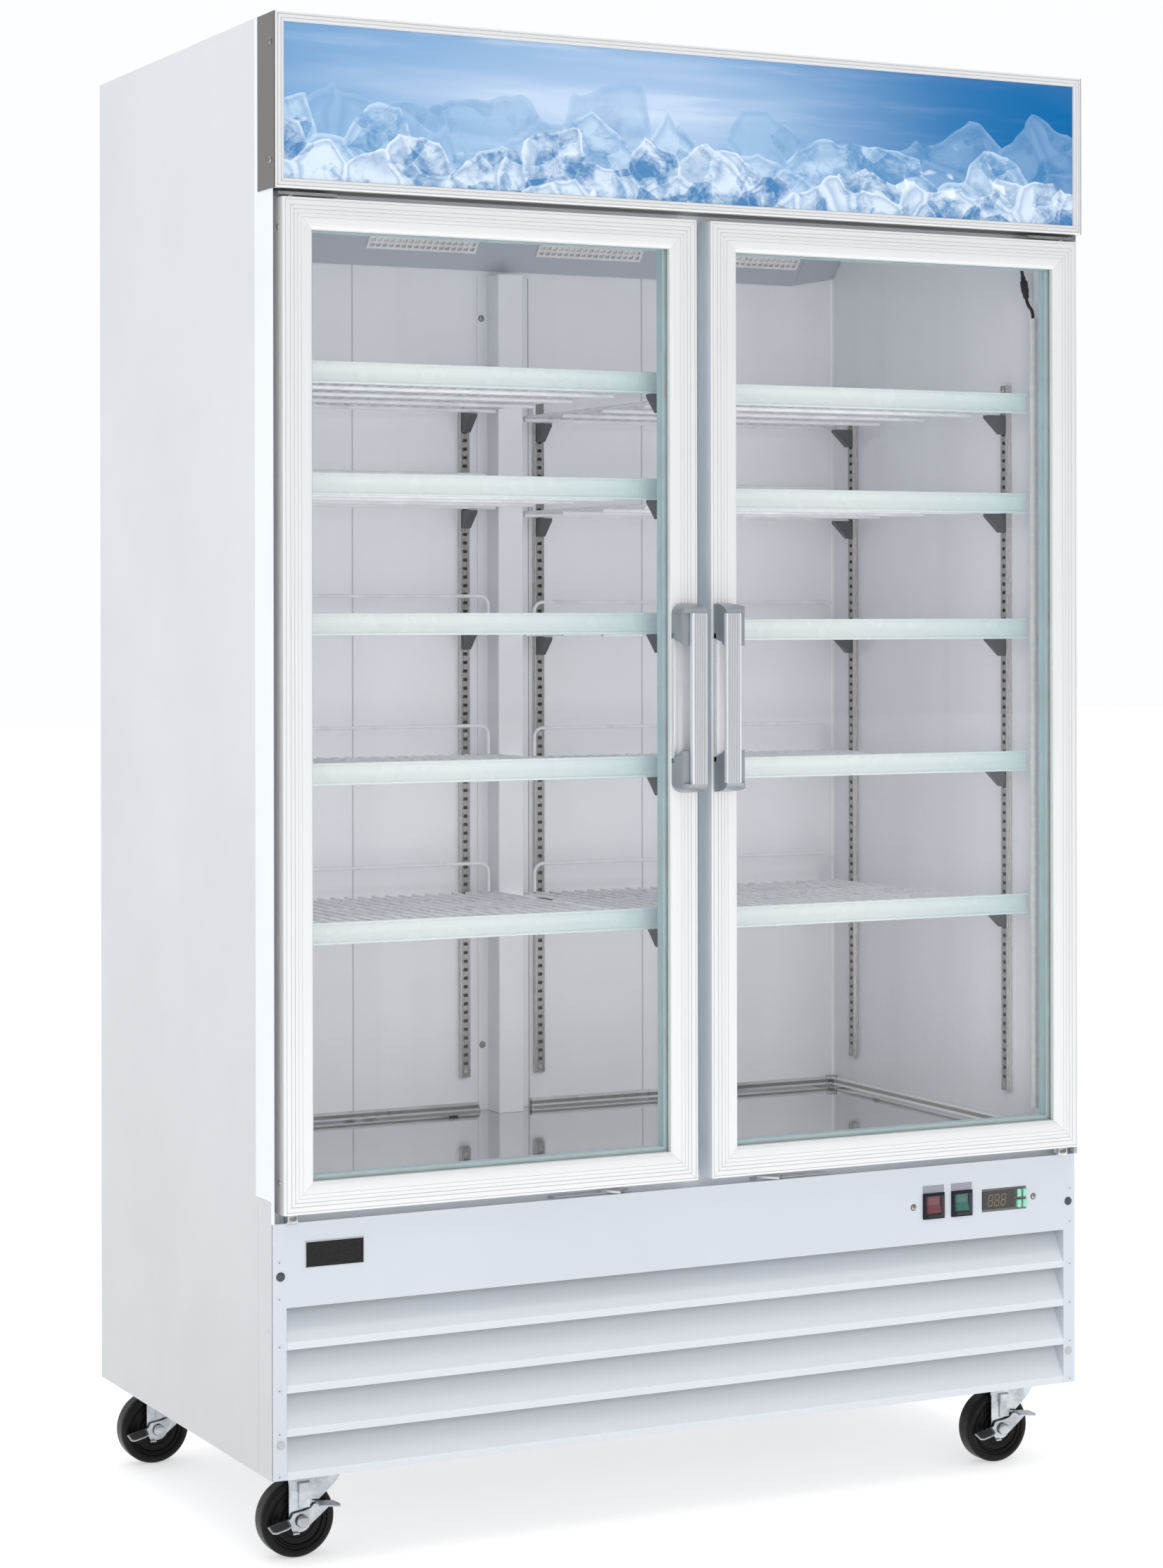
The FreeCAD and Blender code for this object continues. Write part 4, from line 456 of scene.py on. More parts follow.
# Painted light: the doors' free edges get a paler aluminium so that the gap between the doors reads light.
lit_free_edge = satin_metal("lit_free_edge", (0.74, 0.78, 0.82), (40, 8, 1), 0.36, 0.00003, 0.06, 0.2)
sign_side_metal = satin_metal("cheek_steel", (0.185, 0.172, 0.168), (1, 30, 1), 0.32, 0.00005, 0.15)
rib_shadow = satin_metal("rib_shadow", (0.34, 0.36, 0.39), (1, 1, 1), 0.4, 0.00003, 0.1)
grip_metal = satin_metal("grip_aluminium", (0.80, 0.83, 0.865), (60, 60, 0.3), 0.3, 0.000005, 0.03, 0.3)
cap_metal = satin_metal("cap_metal", (0.38, 0.405, 0.44), (1, 1, 1), 0.34, 0.00001, 0.05, 0.6)
polished = satin_metal("polished_channel", (0.86, 0.87, 0.885), (60, 60, 0.3), 0.2, 0.000005, 0.02, 0.6)
dark_clip = plastic("clip_grey", (0.10, 0.103, 0.112), 0.35, 600.0)
wire_white = plastic("wire_coating", (0.82, 0.83, 0.85), 0.3, 500.0, 0.0001)
zinc_plate = zinc("zinc_plate", (0.58, 0.62, 0.66))
hinge_steel = satin_metal("hinge_steel", (0.66, 0.67, 0.69), (1, 30, 1), 0.25, 0.00004, 0.15)
bright_screw = zinc("bright_screw", (0.68, 0.67, 0.66), 0.2)
black_wheel = plastic("wheel_black", (0.007, 0.0065, 0.0065), 0.34, 300.0, 0.00005, Specular_IOR_Level=0.2)
black_plastic = plastic("black_plastic", (0.012, 0.013, 0.020), 0.32, Specular_IOR_Level=0.2)
grey_bezel = plastic("bezel_grey", (0.17, 0.17, 0.165), 0.38)
black_cable = plastic("cable_black", (0.012, 0.013, 0.018), 0.42, 400.0)
gasket_pvc = plastic("gasket_pvc", (0.50, 0.52, 0.54), 0.5, 500.0)
spacer_front = satin_metal("spacer_front", (0.50, 0.60, 0.61), (1, 1, 1), 0.4, 0.00003, 0.1, 0.3)
spacer_side = satin_metal("spacer_side", (0.50, 0.68, 0.69), (1, 1, 1), 0.35, 0.00003, 0.08, 0.15)
waffle_plastic = plastic("waffle_plastic", (0.88, 0.84, 0.835), 0.4, 500.0, 0.00005, Subsurface_Weight=0.1)
strip_green = strip_plastic()
sign_print = poster()
tube_plastic = light_tube()
clear_pane = pane("door_pane")
clear_cover = pane("switch_cover", (0.95, 0.97, 1.0), 0.02)
aluminium_fins = satin_metal("fin_aluminium", (0.7, 0.71, 0.72), (160, 1, 1), 0.4, 0.0004, 0.25)
compressor_black = plastic("compressor_paint", (0.02, 0.02, 0.022), 0.35, 200.0, 0.0001)
foam_yellow = plastic("foam_core", (0.78, 0.66, 0.40), 0.85, 200.0, 0.0006)
fan_grey = plastic("fan_plastic", (0.07, 0.072, 0.078), 0.42)

CAD_FINISHES = {
    "base_pan": galvanised, "side_panels": cabinet_white, "back_panel": cabinet_white,
    "roof_panel": cabinet_white, "foam_insulation": foam_yellow, "inner_liner": liner_white,
    "front_frame": frame_white, "mullion": frame_white, "floor_pan": floor_steel, "rear_column": liner_white,
    "shelf_standards": slotted_steel, "shelf_clips": dark_clip,
    "shelves_left": wire_white, "shelves_right": wire_white, "price_strips": strip_green,
    "sign_housing": sign_side_metal, "sign_panel": sign_print, "hinge_brackets": hinge_steel,
    "grille_panel": panel_white, "led_lights": tube_plastic, "evaporator_coil": aluminium_fins,
    "evaporator_fan_left": fan_grey, "evaporator_fan_right": fan_grey, "compressor": compressor_black,
    "condenser_coil": aluminium_fins, "condenser_fan": fan_grey, "condenser_shroud": galvanised,
    "caster_plates": zinc_plate, "evaporator_cover": liner_white,
}
for node_name, finish in CAD_FINISHES.items():
    slots = nodes[node_name].data.materials
    if not len(slots):
        slots.append(finish)
    for index in range(len(slots)):
        slots[index] = finish


# ---------------------------------------------------------------- shapes
class Shape:
    """Points in mm and faces, gathered into one mesh."""

    def __init__(self):
        self.points = []
        self.faces = []
        self.slots = []

    def add(self, points, faces, slot=0, place=None):
        start = len(self.points)
        for point in points:
            point = Vector(point)
            self.points.append(place @ point if place else point)
        for face in faces:
            self.faces.append([start + i for i in face])
            self.slots.append(slot)
        return self

    def loft(self, rings, slot=0, slots=None, place=None):
        """Skins a list of rings that have the same number of points, and closes both ends."""
        start = len(self.points)
        size = len(rings[0])
        last = len(rings) - 1
        self.add([p for ring in rings for p in ring], [], place=place)
        for i in range(last):
            a, b = start + i * size, start + (i + 1) * size
            for j in range(size):
                k = (j + 1) % size
                self.faces.append([a + j, a + k, b + k, b + j])
                self.slots.append(slots[j] if slots else slot)
        for ring in (0, last):
            self.faces.append([start + ring * size + j for j in range(size)])
            self.slots.append(slot)
        return self

    def box(self, low, high, slot=0, place=None):
        (x0, y0, z0), (x1, y1, z1) = low, high
        ring = ((x0, y0), (x1, y0), (x1, y1), (x0, y1))
        return self.loft([[(x, y, z) for x, y in ring] for z in (z0, z1)], slot=slot, place=place)

    def prism(self, profile, axis, start, end, slot=0, place=None):
        """Sweeps a profile along x, y or z. It gives the other two coordinates in their usual order."""
        at = "xyz".index(axis)
        rings = [[tuple(p[:at]) + (s,) + tuple(p[at:]) for p in profile] for s in (start, end)]
        return self.loft(rings, slot=slot, place=place)

    def lathe(self, profile, steps=32, slot=0, place=None):
        """Turns a profile of (radius, height) about the z axis."""
        rings = []
        for i in range(steps):
            angle = 2 * pi * i / steps
            rings.append([(r * cos(angle), r * sin(angle), h) for r, h in profile])
        size = len(profile)
        points = [p for ring in rings for p in ring]
        faces = []
        for i in range(steps):
            a, b = i * size, (i + 1) % steps * size
            for j in range(size - 1):
                faces.append((a + j, b + j, b + j + 1, a + j + 1))
        return self.add(points, faces, slot, place)

    def mitred(self, x0, x1, z0, z1, profile, face_y, gap=0.0, slots=None, upright=0):
        """Four bars round a rectangle. The profile gives (distance in from the edge, depth behind face_y).

        Slots gives one material slot per profile edge, and upright is added to it for upright bars."""
        slots = slots or [0] * len(profile)
        corners = ((x0, z0, 1, 1), (x1, z0, -1, 1), (x1, z1, -1, -1), (x0, z1, 1, -1))
        for i in range(4):
            ends = []
            for n, (cx, cz, sx, sz) in enumerate((corners[i], corners[(i + 1) % 4])):
                along_x = i % 2 == 0
                ring = []
                for d, y in profile:
                    ring.append((cx + sx * (d + (gap if along_x else 0)), face_y + y,
                                 cz + sz * (d + (0 if along_x else gap))))
                ends.append(ring)
            self.loft(ends, slots=[s + (upright if i % 2 else 0) for s in slots])
        return self

    def mirrored(self):
        other = Shape()
        other.points = [Vector((-p.x, p.y, p.z)) for p in self.points]
        other.faces = [list(reversed(face)) for face in self.faces]
        other.slots = list(self.slots)
        return other

    def join(self, other, place=None):
        start = len(self.points)
        self.points += [place @ p if place else p for p in other.points]
        self.faces += [[start + i for i in face] for face in other.faces]
        self.slots += other.slots
        return self

    def mesh(self, name):
        data = bpy.data.meshes.new(name)
        data.from_pydata([p * MM for p in self.points], [], self.faces)
        data.polygons.foreach_set("material_index", self.slots)
        work = bmesh.new()
        work.from_mesh(data)
        bmesh.ops.remove_doubles(work, verts=work.verts, dist=1e-6)
        bmesh.ops.recalc_face_normals(work, faces=work.faces)
        work.to_mesh(data)
        work.free()
        return data


def dress(data, name, materials, body, sharp=32.0, bevel=0.0, segments=2):
    """Makes a shown piece of a mesh, with materials, smooth shading and the body that it rides on."""
    for material in materials if isinstance(materials, (list, tuple)) else [materials]:
        data.materials.append(material)
    data.polygons.foreach_set("use_smooth", [True] * len(data.polygons))
    data.set_sharp_from_angle(angle=radians(sharp))
    made = bpy.data.objects.new(name, data)
    bpy.context.scene.collection.objects.link(made)
    if bevel:
        soften = made.modifiers.new("soft_edges", "BEVEL")
        soften.width = bevel * MM
        soften.segments = segments
        soften.limit_method = "ANGLE"
        soften.angle_limit = radians(38.0)
        soften.harden_normals = True
    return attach(made, body)


def piece(shape, name, materials, body, **looks):
    return dress(shape.mesh(name), name, materials, body, **looks)


def cut(shape, cutters, operation="DIFFERENCE"):
    """The shape after exact booleans with each cutter, as a new Shape."""
    made = bpy.data.objects.new("work", shape.mesh("work"))
    bpy.context.scene.collection.objects.link(made)
    helpers = []
    for cutter in cutters:
        helper = bpy.data.objects.new("cutter", cutter.mesh("cutter"))
        bpy.context.scene.collection.objects.link(helper)
        helpers.append(helper)
        step = made.modifiers.new("cut", "BOOLEAN")
        step.operation = operation
        step.solver = "EXACT"
        step.object = helper
    bpy.context.view_layer.update()
    result = bpy.data.meshes.new_from_object(made.evaluated_get(bpy.context.evaluated_depsgraph_get()))
    out = Shape()
    out.points = [v.co / MM for v in result.vertices]
    out.faces = [list(p.vertices) for p in result.polygons]
    out.slots = [p.material_index for p in result.polygons]
    for helper in helpers + [made]:
        bpy.data.objects.remove(helper)
    return out


def facing_front(x, y, z):
    """Places a lathe's shape with its height towards the front (-y)."""
    return Matrix.Translation((x, y, z)) @ Matrix.Rotation(radians(90.0), 4, "X")


def facing_side(x, y, z, side):
    return Matrix.Translation((x, y, z)) @ Matrix.Rotation(radians(90.0) * side, 4, "Y")


def screw_head(radius, height):
    """A pan-head screw with a cross recess, standing on the origin along z."""
    dome = [(0.0, height), (radius * 0.45, height), (radius * 0.8, height * 0.8),
            (radius * 0.97, height * 0.4), (radius, 0.0), (0.0, 0.0)]
    head = Shape().lathe(dome, 28)
    arm = radius * 0.55
    half = radius * 0.11
    slots = [Shape().box((-arm, -half, height * 0.45), (arm, half, height * 2)),
             Shape().box((-half, -arm, height * 0.45), (half, arm, height * 2))]
    return cut(head, slots)


def grid_plate(shape, origin, right, rise, out, us, vs, solid, depth):
    """A plate on a grid of lines us by vs, thick along out. solid(i, j) says which cells are filled."""
    columns, rows = len(us) - 1, len(vs) - 1

    def corner(i, j, k):
        return origin + right * us[i] + rise * vs[j] + out * (depth * k)

    def filled(i, j):
        return 0 <= i < columns and 0 <= j < rows and solid(i, j)

    points, faces = [], []

    def quad(*corners):
        faces.append([len(points) + n for n in range(4)])
        points.extend(corners)

    for i in range(columns):
        for j in range(rows):
            if not filled(i, j):
                continue
            for k in (0, 1):
                quad(corner(i, j, k), corner(i + 1, j, k), corner(i + 1, j + 1, k), corner(i, j + 1, k))
            walls = [((-1, 0), (i, j), (i, j + 1)), ((1, 0), (i + 1, j), (i + 1, j + 1)),
                     ((0, -1), (i, j), (i + 1, j)), ((0, 1), (i, j + 1), (i + 1, j + 1))]
            for (di, dj), a, b in walls:
                if not filled(i + di, j + dj):
                    quad(corner(*a, 0), corner(*b, 0), corner(*b, 1), corner(*a, 1))
    return shape.add(points, faces)


FACE = box_mm("grille_panel")[0].y
MITRE_GAP = 0.12


def groove_shade_slots(profile, depth):
    """Material slot 1, the painted groove shade, for the profile's edges that lie between the front face and
    a groove's bottom.
    """
    slots = []
    for (d0, y0), (d1, y1) in zip(profile, profile[1:] + profile[:1]):
        sunk = 0 < d0 < 26 and 0 < d1 < 26 and max(y0, y1) >= depth and max(y0, y1) < 2.0
        slots.append(1 if sunk else 0)
    return slots


# ---------------------------------------------------------------- sign
SIGN_PROFILE = [
    (0, 9.6), (0, 0.9), (0.3, 0.25), (0.9, 0), (2.6, 0), (2.9, 0.9), (3.7, 0.9), (4.0, 0), (7.6, 0),
    (7.9, 0.8), (8.5, 0.8), (8.8, 0), (11.0, 0.2), (12.3, 1.2), (12.5, 2.6), (12.5, 9.6),
]
CHEEK_FACE = 611.2


def sign():
    """The four bars round the sign's print, and the screws of its cheeks."""
    low, high = box_mm("sign_frame")
    # Slots 1 and 3 put the painted shade in the grooves.
    slots = groove_shade_slots(SIGN_PROFILE, 0.5)
    bars = Shape().mitred(low.x, high.x, low.z, high.z, SIGN_PROFILE, low.y, MITRE_GAP, slots, 2)
    looks = [bar_metal, groove_shade_metal, post_metal, groove_shade_metal]
    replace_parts(piece(bars, "sign_frame_profile", looks, "cabinet"), "sign_frame")
    head = screw_head(4.2, 1.55)
    screws = Shape()
    for side in SIDES:
        for z in (low.z + 36.0, high.z - 36.0):
            screws.join(head, facing_side(side * CHEEK_FACE, low.y + 16.0, z, side))
    piece(screws, "cheek_screws", bright_screw, "cabinet")


sign()


# ---------------------------------------------------------------- doors
DOOR_PROFILE = [
    (0, 35), (0, 1.2), (0.35, 0.35), (1.2, 0), (2.9, 0), (3.1, 0.6), (3.7, 0.6), (3.9, 0), (9.4, 0),
    (9.6, 0.6), (10.3, 0.6), (10.5, 0), (14.4, 0), (14.6, 0.6), (15.3, 0.6), (15.5, 0), (19.6, 0),
    (19.7, 0.5), (20.1, 0.5), (20.2, 0), (24.5, 0), (24.6, 0.5), (24.9, 0.5), (25.0, 0), (34.5, 0.3),
    (38.6, 1.3), (40, 3.0), (40, 9.8), (34, 9.8), (34, 30.2), (40, 30.2), (40, 35),
]
GASKET_PROFILE = [
    (0, 0), (0, 2.5), (1.6, 3.6), (0.5, 5.4), (1.6, 7.2), (0.4, 8.6), (0.4, 12.3), (1.0, 12.6), (11.0, 12.6),
    (11.6, 12.3), (11.6, 8.6), (10.4, 7.2), (11.5, 5.4), (10.4, 3.6), (12, 2.5), (12, 0),
]
SPACER_PROFILE = [
    (0, 0), (10.6, 0), (10.6, 2.0), (10.2, 2.8), (10.2, 13.2), (10.6, 14.0), (10.6, 15.8), (0, 15.8),
]
SPACER_SLOTS = [0, 1, 1, 1, 1, 1, 0, 0]
PANE = 4.0
DOOR_EDGE = 601.0


def door(side):
    """The frame, glazing and gasket of one door. Side is 1 for the right door."""
    body = "door_right" if side > 0 else "door_left"
    hand = "right" if side > 0 else "left"
    low, high = box_mm("door_frame_" + hand)
    # Slots 1 and 3 put the painted shade in the grooves.
    slots = groove_shade_slots(DOOR_PROFILE, 0.45)
    # Painted shade: slot 4, and slot 6 on the uprights, give the outer side faces a darker aluminium.
    slots[0] = 4
    bars = Shape().mitred(low.x, high.x, low.z, high.z, DOOR_PROFILE, low.y, MITRE_GAP, slots, 2)
    free_x = low.x if side > 0 else high.x
    # Painted light: the free edge's faces go to slot 5, the paler aluminium.
    for n, face in enumerate(bars.faces):
        if bars.slots[n] == 6 and all(abs(bars.points[i].x - free_x) < 0.5 for i in face):
            bars.slots[n] = 5
    looks = [bar_metal, groove_shade_metal, post_metal, groove_shade_metal, side_metal, lit_free_edge, side_metal]
    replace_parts(piece(bars, "door_profile_" + hand, looks, body, sharp=28.0), "door_frame_" + hand)
    glass_low, glass_high = box_mm("door_glass_" + hand)
    panes = Shape()
    for y in (glass_low.y, glass_high.y - PANE):
        panes.box((glass_low.x, y, glass_low.z), (glass_high.x, y + PANE, glass_high.z))
    glazing = piece(panes, "door_panes_" + hand, clear_pane, body)
    spacers = Shape().mitred(glass_low.x, glass_high.x, glass_low.z + 1.0, glass_high.z + 4.0,
                             SPACER_PROFILE, glass_low.y + PANE + 0.1, slots=SPACER_SLOTS)
    piece(spacers, "door_spacers_" + hand, [spacer_front, spacer_side], body)
    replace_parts(glazing, "door_glass_" + hand)
    seal_low, seal_high = box_mm("door_gasket_" + hand)
    seal = Shape().mitred(seal_low.x, seal_high.x, seal_low.z, seal_high.z, GASKET_PROFILE, seal_low.y)
    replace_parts(piece(seal, "door_seal_" + hand, gasket_pvc, body), "door_gasket_" + hand)
    screws = Shape()
    head = screw_head(4.0, 1.6)
    for z in (low.z + 40.0, high.z - 37.0):
        screws.join(head, facing_side(side * DOOR_EDGE, low.y + 17.0, z, side))
    piece(screws, "door_edge_screws_" + hand, bright_screw, body)


for side in (1, -1):
    door(side)


def handle(side):
    """Grip bar with fine ribs, two cast end caps and a hollow back channel."""
    body = "door_right" if side > 0 else "door_left"
    hand = "right" if side > 0 else "left"
    low, high = box_mm("door_handle_" + hand)
    door_face = high.y
    inner = 14.5
    outer = 50.0
    grip_outer = 37.0
    front = low.y
    quarter = [pi / 2 * i / 14 for i in range(15)]

    ribs = [(inner + 0.9, front)]
    first = inner + 2.2
    pitch = (grip_outer - inner - 4.4) / 12
    for i in range(12):
        x = first + i * pitch
        ribs += [(x, front), (x + 0.15, front + 0.4), (x + 0.45, front + 0.4), (x + 0.6, front)]
    ribs += [(grip_outer - 0.9, front), (grip_outer, front + 0.9), (grip_outer, front + 7.0),
             (grip_outer - 2.0, front + 9.0), (grip_outer - 6.0, front + 7.6), (inner + 6.0, front + 7.6),
             (inner + 2.0, front + 9.0), (inner, front + 7.0), (inner, front + 0.9)]
    deepest = [max(a[1], b[1]) for a, b in zip(ribs, ribs[1:] + ribs[:1])]
    grip_slots = [1 if front < y < front + 0.5 else 0 for y in deepest]
    ends = (low.z + 12.8, high.z - 13.0)
    grip = Shape().loft([[(x, y, z) for x, y in ribs] for z in ends], slots=grip_slots)

    back = door_face - 0.02
    hollow = []
    for i in range(13):
        t = i / 12
        hollow.append((inner + 1.0 + t * (outer - inner - 2.0), back - 1.2 - 4.6 * (2 * t - 1) ** 2))
    channel_plan = [(inner, back)] + [(inner, back - 5.6)] + hollow + [(outer, back - 5.6), (outer, back)]
    channel = Shape().prism(channel_plan, "z", low.z + 40.0, high.z - 40.0)

    def cap(top):
        """The upper end cap, ending at height top."""
        plan = [(inner, back), (outer, back)]
        corner = grip_outer + 0.6
        plan += [(corner + (outer - corner) * cos(a), back - 7.0 + (front + 7.0 - back) * sin(a))
                 for a in quarter]
        plan += [(inner, front)]
        body_block = Shape().prism(plan, "z", top - 56.0, top)
        bar_back = front + 9.0
        side_view = [(back + 1.0, top - 46.0), (back + 1.0, top)]
        side_view += [(back + (front - back) * sin(a), top - 13.0 + 13.0 * cos(a)) for a in quarter]
        side_view += [(bar_back, top - 13.0), (bar_back, top - 56.0), (bar_back + 5.0, top - 51.0)]
        flank = Shape().prism(side_view, "x", inner - 5.0, outer + 5.0)
        arch = [(inner - 5.0, top - 70.0), (outer, top - 70.0)]
        arch += [(outer - 15.0 + 15.0 * cos(a), top - 15.0 + 15.0 * sin(a)) for a in quarter]
        arch += [(inner - 5.0, top)]
        crown = Shape().prism(arch, "y", front - 5.0, back + 5.0)
        half_circle = [(sin(pi * i / 16), cos(pi * i / 16)) for i in range(17)]
        hollow_place = Matrix.Translation((35.0, back - 6.0, top - 51.0))
        scoop = Shape().lathe(half_circle, 32, place=hollow_place @ Matrix.Diagonal((17.0, 11.0, 12.0, 1.0)))
        shape = cut(body_block, [flank, crown], "INTERSECT")
        return cut(shape, [scoop])

    upper = cap(high.z)
    flipped = Matrix.Translation((0, 0, low.z + high.z)) @ Matrix.Diagonal((1, 1, -1, 1))
    caps = Shape().join(upper).join(upper, flipped)
    parts = ((grip, "handle_grip_", [grip_metal, rib_shadow], 0.0), (caps, "handle_caps_", cap_metal, 0.7),
             (channel, "handle_channel_", polished, 0.0))
    for shape, name, material, bevel in parts:
        made = piece(shape if side > 0 else shape.mirrored(), name + hand, material, body, bevel=bevel)
        if name == "handle_grip_":
            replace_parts(made, "door_handle_" + hand)


for side in (1, -1):
    handle(side)


# ---------------------------------------------------------------- cabinet details
WALL_Y = 310.0
RIVET_X = 600.0
RIVET_HEIGHTS = (388.5, 342.0, 282.0, 227.0, 172.5, 119.0)
PLUG_X = 598.0
DARK_PLUG_Z = 370.5
PALE_PLUG_Z = 158.5
PANEL_SCREWS_X = (340.0, 538.8)
PANEL_SCREWS_Z = 382.0
MULLION_SCREW_HEIGHTS = (487.0, 1690.0)
COLUMN_SCREWS_X = -31.5
COLUMN_SCREW_HEIGHTS = (560.0, 1178.0, 1645.0)
COLUMN_FLANGE_Y = 308.5
PLUG_PROFILE = [(0.0, 1.5), (4.4, 1.3), (5.6, 0.9), (6.0, 0.0)]
HAT = [
    (-38.0, 309.6), (-38.0, 308.5), (-24.2, 308.5), (-22.5, 307.4), (-22.5, 269.2), (-21.3, 268.0),
    (16.8, 268.0), (18.0, 269.2), (18.0, 307.4), (19.6, 308.5), (45.2, 308.5), (46.0, 309.6),
]
BADGE_X = (-564.0, -485.0)
BADGE_Z = (379.5, 411.5)
BADGE_RIM = 0.6
RIM_PROFILE = [(0, 1.25), (0, 0.15), (0.2, 0), (0.7, 0), (0.9, 0.15), (0.9, 1.25)]
BUSH_PROFILE = [(0.0, 0.0), (7.8, 0.0), (8.5, 0.8), (8.5, 10.4), (7.8, 11.6), (0.0, 11.6)]
BUSH_PLACE = (584.0, -306.0, 437.6)


def rivet(radius, height):
    return [(0.0, height), (radius * 0.5, height * 0.86), (radius * 0.85, height * 0.5), (radius, 0.0)]


def front_fasteners():
    """Rivets, plugs and screws on the louvred panel, the mullion and the column."""
    fasteners = Shape()
    dark_plugs = Shape()
    pale_plugs = Shape()
    for side in SIDES:
        for z in RIVET_HEIGHTS:
            place = facing_front(side * RIVET_X, FACE, z)
            fasteners.lathe(rivet(3.2, 1.2), 20, place=place)
            fasteners.lathe([(1.1, 1.1), (0.9, 1.2), (0.0, 0.9)], 12, place=place)
        dark_plugs.lathe(PLUG_PROFILE, 28, place=facing_front(side * PLUG_X, FACE, DARK_PLUG_Z))
        pale_plugs.lathe(PLUG_PROFILE, 28, place=facing_front(side * PLUG_X, FACE, PALE_PLUG_Z))
    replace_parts(piece(fasteners, "panel_rivets", panel_white, "cabinet"), "panel_fasteners")
    piece(dark_plugs, "panel_plugs_dark", plastic("plug_dark", (0.06, 0.068, 0.085), 0.4), "cabinet")
    piece(pale_plugs, "panel_plugs_pale", plastic("plug_pale", (0.50, 0.53, 0.56), 0.4), "cabinet")
    screws = Shape()
    for x in PANEL_SCREWS_X:
        screws.join(screw_head(3.7, 1.9), facing_front(x, FACE, PANEL_SCREWS_Z))
    for z in MULLION_SCREW_HEIGHTS:
        screws.join(screw_head(5.0, 2.9), facing_front(2.0, FACE + 27.0, z))
    for z in COLUMN_SCREW_HEIGHTS:
        screws.join(screw_head(4.0, 2.4), facing_front(COLUMN_SCREWS_X, WALL_Y - 1.6, z))
    piece(screws, "panel_screws", bright_screw, "cabinet")


def fastener_shadows():
    """Painted shadow: dark rings round the panel's screws, dark crosses in their recesses and dark dots in
    the rivets' dimples.
    """
    shadow_marks = Shape()
    for x in PANEL_SCREWS_X:
        spot = facing_front(x, FACE, PANEL_SCREWS_Z)
        shadow_marks.lathe([(0.0, 0.25), (4.5, 0.25), (4.6, 0.0)], 28, place=spot)
        for arm_x, arm_y in ((2.0, 0.5), (0.5, 2.0)):
            shadow_marks.box((-arm_x, -arm_y, 1.2), (arm_x, arm_y, 1.75), place=spot)
    for side in SIDES:
        for z in RIVET_HEIGHTS:
            spot = facing_front(side * RIVET_X, FACE, z)
            shadow_marks.lathe([(0.0, 1.32), (0.8, 1.3), (0.9, 1.0)], 12, place=spot)
    piece(shadow_marks, "fastener_shadows", plastic("recess_shadow", (0.05, 0.05, 0.055), 0.5), "cabinet")


def rear_column():
    """The hat-shaped duct cover, the shadow line of its right edge and the dark rings round its screws."""
    low, high = box_mm("rear_column")
    cover = Shape().prism(HAT, "z", low.z, high.z)
    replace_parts(piece(cover, "column_cover", liner_white, "cabinet", sharp=25.0), "rear_column")
    lines = Shape().box((45.6, 308.9, low.z), (46.9, 309.9, high.z))
    for z in COLUMN_SCREW_HEIGHTS:
        place = facing_front(COLUMN_SCREWS_X, COLUMN_FLANGE_Y, z)
        lines.lathe([(0.0, 0.5), (4.6, 0.5), (5.0, 0.0)], 28, 1, place)
    looks = [plastic("edge_shadow", (0.36, 0.36, 0.37), 0.4),
             plastic("screw_ring_dark", (0.15, 0.145, 0.14), 0.4)]
    piece(lines, "column_edge_and_screw_rings", looks, "cabinet")


def blank_badge():
    (x0, x1), (z0, z1) = BADGE_X, BADGE_Z
    plate = Shape().box((x0, FACE - 1.0, z0), (x1, FACE, z1))
    black = speckled("badge_black", (0.009, 0.009, 0.0095), (0.10, 0.10, 0.105))
    piece(plate, "blank_badge", black, "cabinet", bevel=0.4)
    rim = Shape().mitred(x0 - BADGE_RIM, x1 + BADGE_RIM, z0 - BADGE_RIM, z1 + BADGE_RIM,
                         RIM_PROFILE, FACE - 1.25)
    piece(rim, "blank_badge_rim", satin_metal("badge_rim", (0.6, 0.6, 0.6)), "cabinet")


def cover_rivets():
    """Two rivets on each cover plate at the cabinet's lower front corners."""
    rivets = Shape()
    for side in SIDES:
        for y, z in ((FACE + 26.0, 459.0), (FACE + 14.0, 300.0)):
            rivets.lathe(rivet(3.2, 1.2), 20, place=facing_side(side * 610.0, y, z, side))
    piece(rivets, "cover_rivets", cabinet_white, "cabinet")


def hinge_bushes():
    bushes = Shape()
    x, y, z = BUSH_PLACE
    for side in SIDES:
        bushes.lathe(BUSH_PROFILE, 36, place=Matrix.Translation((side * x, y, z)))
    piece(bushes, "hinge_bushes", zinc("bush_chrome", (0.8, 0.8, 0.82), 0.12), "cabinet")


front_fasteners()
fastener_shadows()
rear_column()
blank_badge()
cover_rivets()
hinge_bushes()


# ---------------------------------------------------------------- pilasters
INNER_HALF_WIDTH = 580.0


